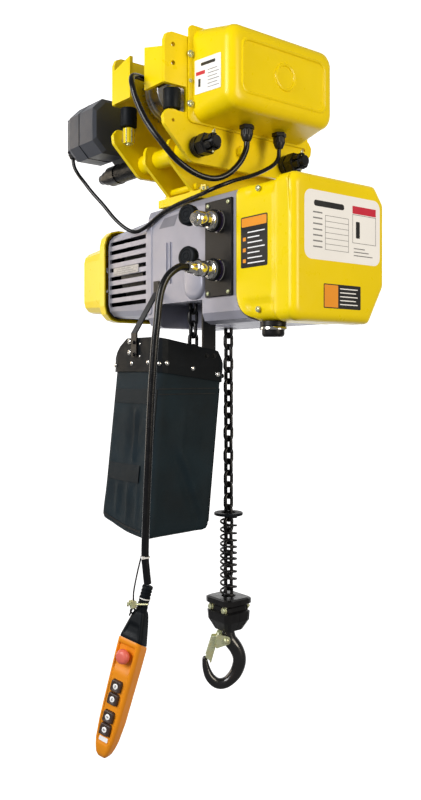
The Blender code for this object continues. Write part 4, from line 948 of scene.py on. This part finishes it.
def bag_folds(side, u, z):
    """How far the canvas stands out at u along one side, from 0 to 1, and a height."""
    loose = step_between(-z, 478, 560)
    where = Vector((u * 2.3 + side * 7.1, z / 95, side * 3.7))
    out = -1.6 * loose + 3.2 * loose * smooth_noise.noise(where)
    out += 1.4 * loose * smooth_noise.noise(where * 2.7)
    if side == 0:
        pleat = step_between(-z, 510, 530) * (1 - step_between(-z, 600, 616))
        out += 5 * pleat * ridge(u, 0.6, 0.032) - 2.4 * pleat * ridge(u, 0.5, 0.06)
        low = step_between(-z, 643, 656) * (1 - step_between(-z, 700, 722))
        out += low * (3.6 * ridge(u, 0.33, 0.045) + 4.2 * ridge(u, 0.56, 0.045)
                      + 3.4 * ridge(u, 0.76, 0.04) - 2)
    if side == 1:
        out += 2 * loose * ridge(u, 0.43, 0.018) * (1 - step_between(-z, 590, 640))
        slant = u + (z + 640) / 260
        out += 4 * step_between(-z, 560, 620) * (ridge(slant, 0.62, 0.05) - ridge(slant, 0.5, 0.07))
        out -= 3 * step_between(-z, 690, 728) * (1 - ridge(u, 0.3, 0.4))
        out -= 2.2 * step_between(-z, 520, 620) * ridge(u, 1.0, 0.22)
    return out


def bag_ring(z, out, inset=0.0, folded=1.0):
    """Points round the bag at a height: out is the distance from the canvas's outer face."""
    share = bag_share(z)
    dx, dy = -25 * share, -14 * share
    x0, x1 = -100 + dx - 4 * share + inset, 40 + dx + 4 * share - inset
    y0, y1 = -183 + dy + inset, -42 + dy - inset
    radius = max(3.0, 16 - inset)
    ring = []
    for side, (corner, start) in enumerate((((x0, y0), (1, 0)), ((x1, y0), (0, 1)), ((x1, y1), (-1, 0)),
                                            ((x0, y1), (0, -1)))):
        along = Vector(start)
        normal = Vector((along.y, -along.x))
        length = (x1 - x0) if side % 2 == 0 else (y1 - y0)
        for i in range(27):
            u = i / 26
            reach = radius + (length - 2 * radius) * u
            edge = min(1.0, 6 * min(u, 1 - u))
            fold = folded * edge * bag_folds(side, reach / length, z)
            point = Vector(corner) + along * reach + normal * (out + fold)
            ring.append((point.x, point.y))
        turn_centre = Vector(corner) + along * (length - radius) - normal * radius
        for angle in (math.radians(90 * i / 7) for i in range(1, 7)):
            spot = turn_centre + (normal * math.cos(angle) + along * math.sin(angle)) * (radius + out)
            ring.append((spot.x, spot.y))
    return ring


def bag_sag(x, y, z):
    """The bottom hangs lowest under the front corner and is drawn up towards the left."""
    share = step_between(-z, 640, 733)
    across = min(1.0, max(0.0, (19 - x) / 148))
    back = min(1.0, max(0.0, (y + 197) / 141))
    return z + share * (19 * across ** 2.2 + 3 * back - 5 * math.sin(math.pi * (1 - across) * 0.62))


def bag_row(z, out, inset=0.0, folded=1.0):
    return [(x, y, bag_sag(x, y, z)) for x, y in bag_ring(z, out, inset, folded)]


def bag_strip(name, low, high, first, last, out, look):
    """A band of webbing sewn round part of the bag, following its folds a little."""
    heights = [low + (high - low) * k / 6 for k in range(7)]
    outer = [bag_row(z, out, 0, 0.8) for z in heights]
    inner = [bag_row(z, out - 1.3, 0, 0.8) for z in reversed(heights)]
    count = len(outer[0])
    rows = [[row[i % count] for row in outer + inner] for i in range(first, last + 1)]
    return Shape().loft(rows).piece(name, "bag_cloth", ROOT, look=look, bevel=0.3)


def chain_bag():
    """Canvas shell that sags, with its folds, webbing bands, piped corner and hem."""
    heights = [-712 + (712 + BAG_TOP - 1) * i / 56 for i in range(57)]
    outer = [bag_row(z, 0, inset, folded) for z, inset, folded in (
        (-733, 62, 0), (-733, 46, 0), (-733, 30, 0), (-733, 16, 0.2), (-732.4, 8, 0.5), (-729.6, 2.4, 0.8),
        (-724, 0.4, 1))]
    outer += [bag_row(z, 0) for z in heights]
    inner = [bag_row(z, -1.5) for z in reversed(heights)]
    inner += [bag_row(z, -1.5, inset, folded) for z, inset, folded in (
        (-723, 0.4, 1), (-728.2, 2.4, 0.8), (-730.9, 8, 0.5), (-731.4, 16, 0.2), (-731.4, 30, 0),
        (-731.4, 46, 0), (-731.4, 62, 0))]
    shell = Shape().loft(outer + inner).piece("canvas_bag", "bag_cloth", ROOT, ("chain_bag",), angle=80)
    bands = [bag_strip("bag_band_upper", -509, -484, 0, 25, 1.9, WEBBING),
             bag_strip("bag_band_lower", -644, -614, 0, 22, 2.1, WEBBING),
             bag_strip("bag_seam_high", -484.4, -482.6, 30, 59, 1.0, STITCHING),
             bag_strip("bag_seam_low", -493.4, -491.6, 30, 59, 1.0, STITCHING),
             bag_strip("bag_hem_left", -722, -718.6, 0, 26, 0.9, STITCHING)]
    piping = Shape()
    for index, radius in ((29, 1.1), (62, 0.88)):
        piping.tube([bag_row(-484 - 6 * k, 0.5)[index] for k in range(40)], radius, 8)
    bands.append(piping.piece("bag_piping", "bag_cloth", ROOT, look=STITCHING))


def bag_hardware():
    """Rivets round the collar, screws at the strap's end, bolts of the strap and the bracket."""
    left, back = (-1, 0, 0), (0, 1, 0)
    fasteners("collar_rivet_front", "rivet", 4.3,
              [(x, -186.6, z) for x, z in ((-89, -443), (-36.6, -440), (12.8, -438.5))], FRONT, "nickel")
    fastener("collar_rivet_corner", "rivet", 3.6, (37.7, -180.9, -441), (0.707, -0.707, 0), ROOT, "nickel")
    fasteners("collar_rivet_side", "rivet", 4.6,
              [(43.4, y, z) for y, z in ((-169, -440), (-115, -448.5), (-61, -459))], NEAR, "nickel")
    fasteners("collar_rivet_back", "rivet", 4.3, [(x, -38.5, -462) for x in (-90, -31, 29)], back, "nickel")
    fasteners("collar_rivet_left", "rivet", 4.3,
              [(-104.2, y, z) for y, z in ((-165, -447), (-115, -454), (-62, -462))], left, "nickel")
    screws = ((-42.5, -402, 5), (-42.5, -421, 5), (-11, -407, 2.6), (-12, -428, 2.6))
    for i, (x, z, size) in enumerate(screws):
        fastener(f"strap_screw_{i}", "pan", size, (x, -186.7, z), FRONT, ROOT, "nickel")
    fasteners("strap_bolt", "hex", 3.4, [(-26, -190.4, z) for z in (-404, -425)], FRONT, "black_oxide")
    fasteners("bracket_bolt", "hex", 3.8, [(43.4, y, -427) for y in (-85, -69)], NEAR, "black_oxide")


# ---------------------------------------------------------------- pendant
def pendant_frame():
    """The pendant's own frame, in millimetres: Z runs up it and -Y looks out of its face."""
    lean, way, facing = math.radians(14.6), math.radians(-128.5), math.radians(-68)
    up = -Vector((math.sin(lean) * math.cos(way), math.sin(lean) * math.sin(way), -math.cos(lean)))
    face = Vector((math.cos(facing), math.sin(facing), 0))
    back = -(face - up * face.dot(up)).normalized()
    turn = Matrix((back.cross(up), back, up)).transposed().to_4x4()
    return Matrix.Translation((107, -250.7, -785)) @ turn


PENDANT = pendant_frame()
BUTTONS = (("button_up", -157.5, 90), ("button_down", -177.5, -90), ("button_east", -205.5, 0),
           ("button_west", -225.5, 180))
STOP_Z = -110


def between(table, z):
    """Values between the rows of a table whose first entries are falling heights."""
    for one, two in zip(table, table[1:]):
        if z >= two[0]:
            share = (one[0] - z) / (one[0] - two[0])
            return [a + (b - a) * max(0.0, share) for a, b in zip(one[1:], two[1:])]
    return table[-1][1:]


BODY_SIZES = [(-84, 20.2, -15.4, 14.2, 6), (-87, 21, -16, 15, 7), (-128, 20.5, -16, 15, 7),
              (-215, 18.5, -16, 14, 7), (-245, 16, -15.5, 12, 6.5), (-258, 13.2, -14, 10.4, 6),
              (-266, 10.5, -12, 8, 5), (-271, 7, -8, 5, 3)]


def pendant_body():
    """Moulded body: a long shallow channel holds the stop and the buttons; its top slants back."""
    rows = []
    middle = [-88 - 2.4 * i for i in range(71)]
    for z in (-84, -84.8, -86.2, *middle, -259.5, -262.5, -265, -267.5, -269.6, -271):
        half, front, back, radius = between(BODY_SIZES, z)
        outline = fit_count(rectangle(-half, half, front, back, radius, 8), 132)
        rim = half - 5.2
        row = []
        for a, b in outline:
            inside = (1 - step_between(abs(a), rim - 1.4, rim)) if b < front + 1 else 0
            ends = step_between(-z, 92, 94.5) * (1 - step_between(-z, 247, 249.5))
            deep = 1.5 + 2.2 * (1 - step_between(-z, 124, 140))
            slant = 11 * (1 - step_between(-z, 84, 150)) * (b + 16) / 31
            row.append((a, b + deep * inside * ends, z - slant))
        rows.append(row)
    body = Shape().loft(rows).move(PENDANT)
    made = body.piece("pendant_shell", "pendant_orange", ROOT, ("pendant_body",), angle=40)
    pockets = [(rectangle(-9.4, 9.4, z - 9.2, z + 9.2, 2.4, 4), -7) for _, z, _ in BUTTONS]
    pockets.append((circle(12.4, 40, (0, STOP_Z)), -12.2))
    carve(made, [Shape().plate(outline, -30, floor, "Y").move(PENDANT).as_object("cutter")
                 for outline, floor in pockets])


def carve(obj, cutters):
    """Cut pockets out of a piece and keep the result as its own mesh."""
    for tool in cutters:
        cut = obj.modifiers.new("cut", "BOOLEAN")
        cut.object = tool
        cut.operation = "DIFFERENCE"
        cut.solver = "EXACT"
    result = bpy.data.meshes.new_from_object(obj.evaluated_get(bpy.context.evaluated_depsgraph_get()))
    obj.modifiers.clear()
    obj.data = result
    result.shade_smooth()
    result.set_sharp_from_angle(angle=math.radians(40))
    for tool in cutters:
        bpy.data.objects.remove(tool)


def pendant_boot():
    """Rubber boot with a slanted skirt, a shoulder with the strain eye, and its ribbed sleeve."""
    sizes = [(-40, 9, -9, 9, 5), (-46, 11, -10, 10, 5), (-80, 20, -14, 13, 6), (-83.6, 20, -14, 13, 6)]
    rows = []
    for z in [-39.4, -40] + [-42 - 2.6 * i for i in range(16)] + [-83.2, -83.6]:
        half, front, back, radius = between(sizes, z)
        inset = 1.2 if z > -40 else 0.6 if z > -41 else 0
        outline = rectangle(-half + inset, half - inset, front + inset, back - inset, radius, 8)
        row = []
        for a, b in fit_count(outline, 96):
            panel = step_between(-z, 58, 62) * (1 - step_between(-z, 74, 78)) if b < front + 1 else 0
            panel *= 1 - step_between(abs(a), half - 7, half - 5)
            slant = 11 * step_between(-z, 50, 83) * (b + 16) / 31
            row.append((a, b + 1.6 * panel, z - slant))
        rows.append(row)
    boot = Shape().loft(rows)
    profile = [(0, -0.4), (7.6, -0.4), (8.2, -0.8), (8.5, -2)]
    for i in range(6):
        profile += [(8.5, -4.6 - 5 * i), (7.5, -5.2 - 5 * i), (7.5, -6.6 - 5 * i), (8.5, -7.2 - 5 * i)]
    profile += [(8.5, -36), (9.4, -42), (9.4, -48), (0, -48)]
    boot.turned(profile, (0, 0, 0), UP, 36)
    boot.tube([(-10.6 + a, -8 + b / 3, -43 + b) for a, b in circle(3.6, 24)], 1.5, 10, closed=True)
    boot.move(PENDANT).piece("boot_moulded", "black_rubber", ROOT, ("pendant_boot",), angle=45)
    tie = Shape().turned([(8.3, -19.4), (9.2, -19.4), (9.2, -21), (8.3, -21)], (0, 0, 0), UP, 32, ring=True)
    tie.move(PENDANT).piece("sleeve_tie", "nickel", ROOT, look=WHITE_PLASTIC)


def pendant_buttons():
    """Square keys, each with a pale disc and an arrow, the ribbed stop and the end label."""
    for name, z, heading in BUTTONS:
        layers = []
        for y, inset, radius in ((-12, 0, 2.6), (-18.4, 0, 2.6), (-19.4, 0.4, 2.6), (-19.9, 1.2, 2.4),
                                 (-19.7, 3.0, 2), (-19.2, 4.4, 1.6)):
            half = 8.9 - inset
            key_outline = rectangle(-half, half, z - half + 0.2, z + half - 0.2, radius, 6)
            layers.append((y, fit_count(key_outline, 48)))
        key = Shape().stack(layers, "Y").move(PENDANT)
        key.piece(name + "_key", "black_plastic", name, (name,), look=KEY_BROWN, bevel=0.15)
        disc = [(0, 0), (4.1, 0), (4.3, -0.1), (4.3, -0.6), (0, -0.6)]
        Shape().turned(disc, (0, -19.5, z), FRONT, 32).move(PENDANT).piece(
            name + "_disc", "black_plastic", name, look=WHITE_LABEL)
        turn = Matrix.Rotation(math.radians(heading), 2)
        arrow = [(2.6, 0), (0.2, 2.1), (0.2, 0.8), (-2.4, 0.8), (-2.4, -0.8), (0.2, -0.8), (0.2, -2.1)]
        outline = [tuple(Vector((0, z)) + turn @ Vector(point)) for point in arrow]
        mark = Shape().plate(outline, -19.66, -19.4, "Y").move(PENDANT)
        mark.piece(name + "_arrow", "black_plastic", name, look=GREY_PRINT)
    stop = Shape().turned([(0, 9.6), (4, 9.5), (7, 9), (9.2, 7.9), (10.5, 6.2), (11, 4), (11, 2.4), (10.7, 1),
                           (10.2, 0.2), (6, 0), (6, -14), (0, -14)], (0, -17.6, STOP_Z), FRONT, 48)
    for i in range(20):
        t = 2 * math.pi * i / 20
        x, z = 10.9 * math.cos(t), STOP_Z + 10.9 * math.sin(t)
        stop.box((-0.5, -0.35, -2), (0.5, 0.35, 2), Matrix.Rotation(-t + math.pi / 2, 3, "Y").to_4x4()
                 @ Matrix.Rotation(math.pi / 2, 4, "X"), (x, -20.8, z))
    stop.move(PENDANT).piece("stop_mushroom", "stop_red", "stop_button", ("stop_button",), angle=40)
    patch = Shape().plate(rectangle(-8, 8, -244.9, -238.1, 0.8, 4), -14, -14.55, "Y").move(PENDANT)
    patch.piece("pendant_label", "pendant_orange", ROOT, look=WHITE_LABEL)


# ---------------------------------------------------------------- studio
VIEW = Vector((-0.7826, 0.6225, 0))


def area_light(name, place, target, size, power, colour=(1, 1, 1)):
    data = bpy.data.lights.new(name, "AREA")
    data.shape = "RECTANGLE"
    data.size, data.size_y = size
    data.energy = power
    data.color = colour
    obj = bpy.data.objects.new(name, data)
    bpy.context.scene.collection.objects.link(obj)
    obj.location = place
    obj.rotation_euler = (Vector(target) - Vector(place)).to_track_quat("-Z", "Y").to_euler()


def backdrop(middle, size, brightness):
    """A pale lit screen behind the object, square to the camera's view."""
    bpy.ops.mesh.primitive_plane_add(size=size, location=middle)
    screen = bpy.context.object
    screen.name = "studio_backdrop"
    screen.rotation_euler = VIEW.to_track_quat("-Z", "Y").to_euler()
    made, shader, _ = new_material("backdrop_light", (0.9, 0.9, 0.9), 0.9)
    shader.inputs["Emission Color"].default_value = (1, 1, 1, 1)
    shader.inputs["Emission Strength"].default_value = brightness
    screen.data.materials.append(made)


def studio():
    world = bpy.data.worlds.new("studio")
    bpy.context.scene.world = world
    world.use_nodes = True
    sky = world.node_tree.nodes["Background"]
    sky.inputs["Color"].default_value = (1, 1, 1, 1)
    sky.inputs["Strength"].default_value = 0.2
    backdrop((-4.7, 3.74, -0.4), 12, 1.05)
    area_light("key_light", (0.1, -2.6, 0.5), (0, -0.1, -0.3), (1.3, 1.3), 62)
    area_light("side_light", (2.7, 0.4, 0.1), (0.1, 0, -0.3), (1.0, 1.6), 46, (1.0, 0.9, 0.74))
    area_light("left_light", (-2.3, -1.2, 0), (-0.2, 0, -0.3), (0.8, 1.6), 15, (1.0, 0.84, 0.64))
    camera = bpy.data.objects.new("camera", bpy.data.cameras.new("camera"))
    bpy.context.scene.collection.objects.link(camera)
    camera.data.sensor_fit = "VERTICAL"
    camera.data.sensor_height = 36
    camera.data.lens = 37.26
    camera.data.shift_y = -0.035
    camera.data.clip_start = 0.01
    camera.location = (1.169, -0.972, -0.455)
    camera.rotation_euler = VIEW.to_track_quat("-Z", "Y").to_euler()
    bpy.context.scene.camera = camera
    bpy.context.scene.view_settings.view_transform = "Standard"


cables()
chains_and_hook()
trolley()
hoist_body()
chain_bag()
bag_hardware()
pendant_body()
pendant_boot()
pendant_buttons()
labels()
studio()
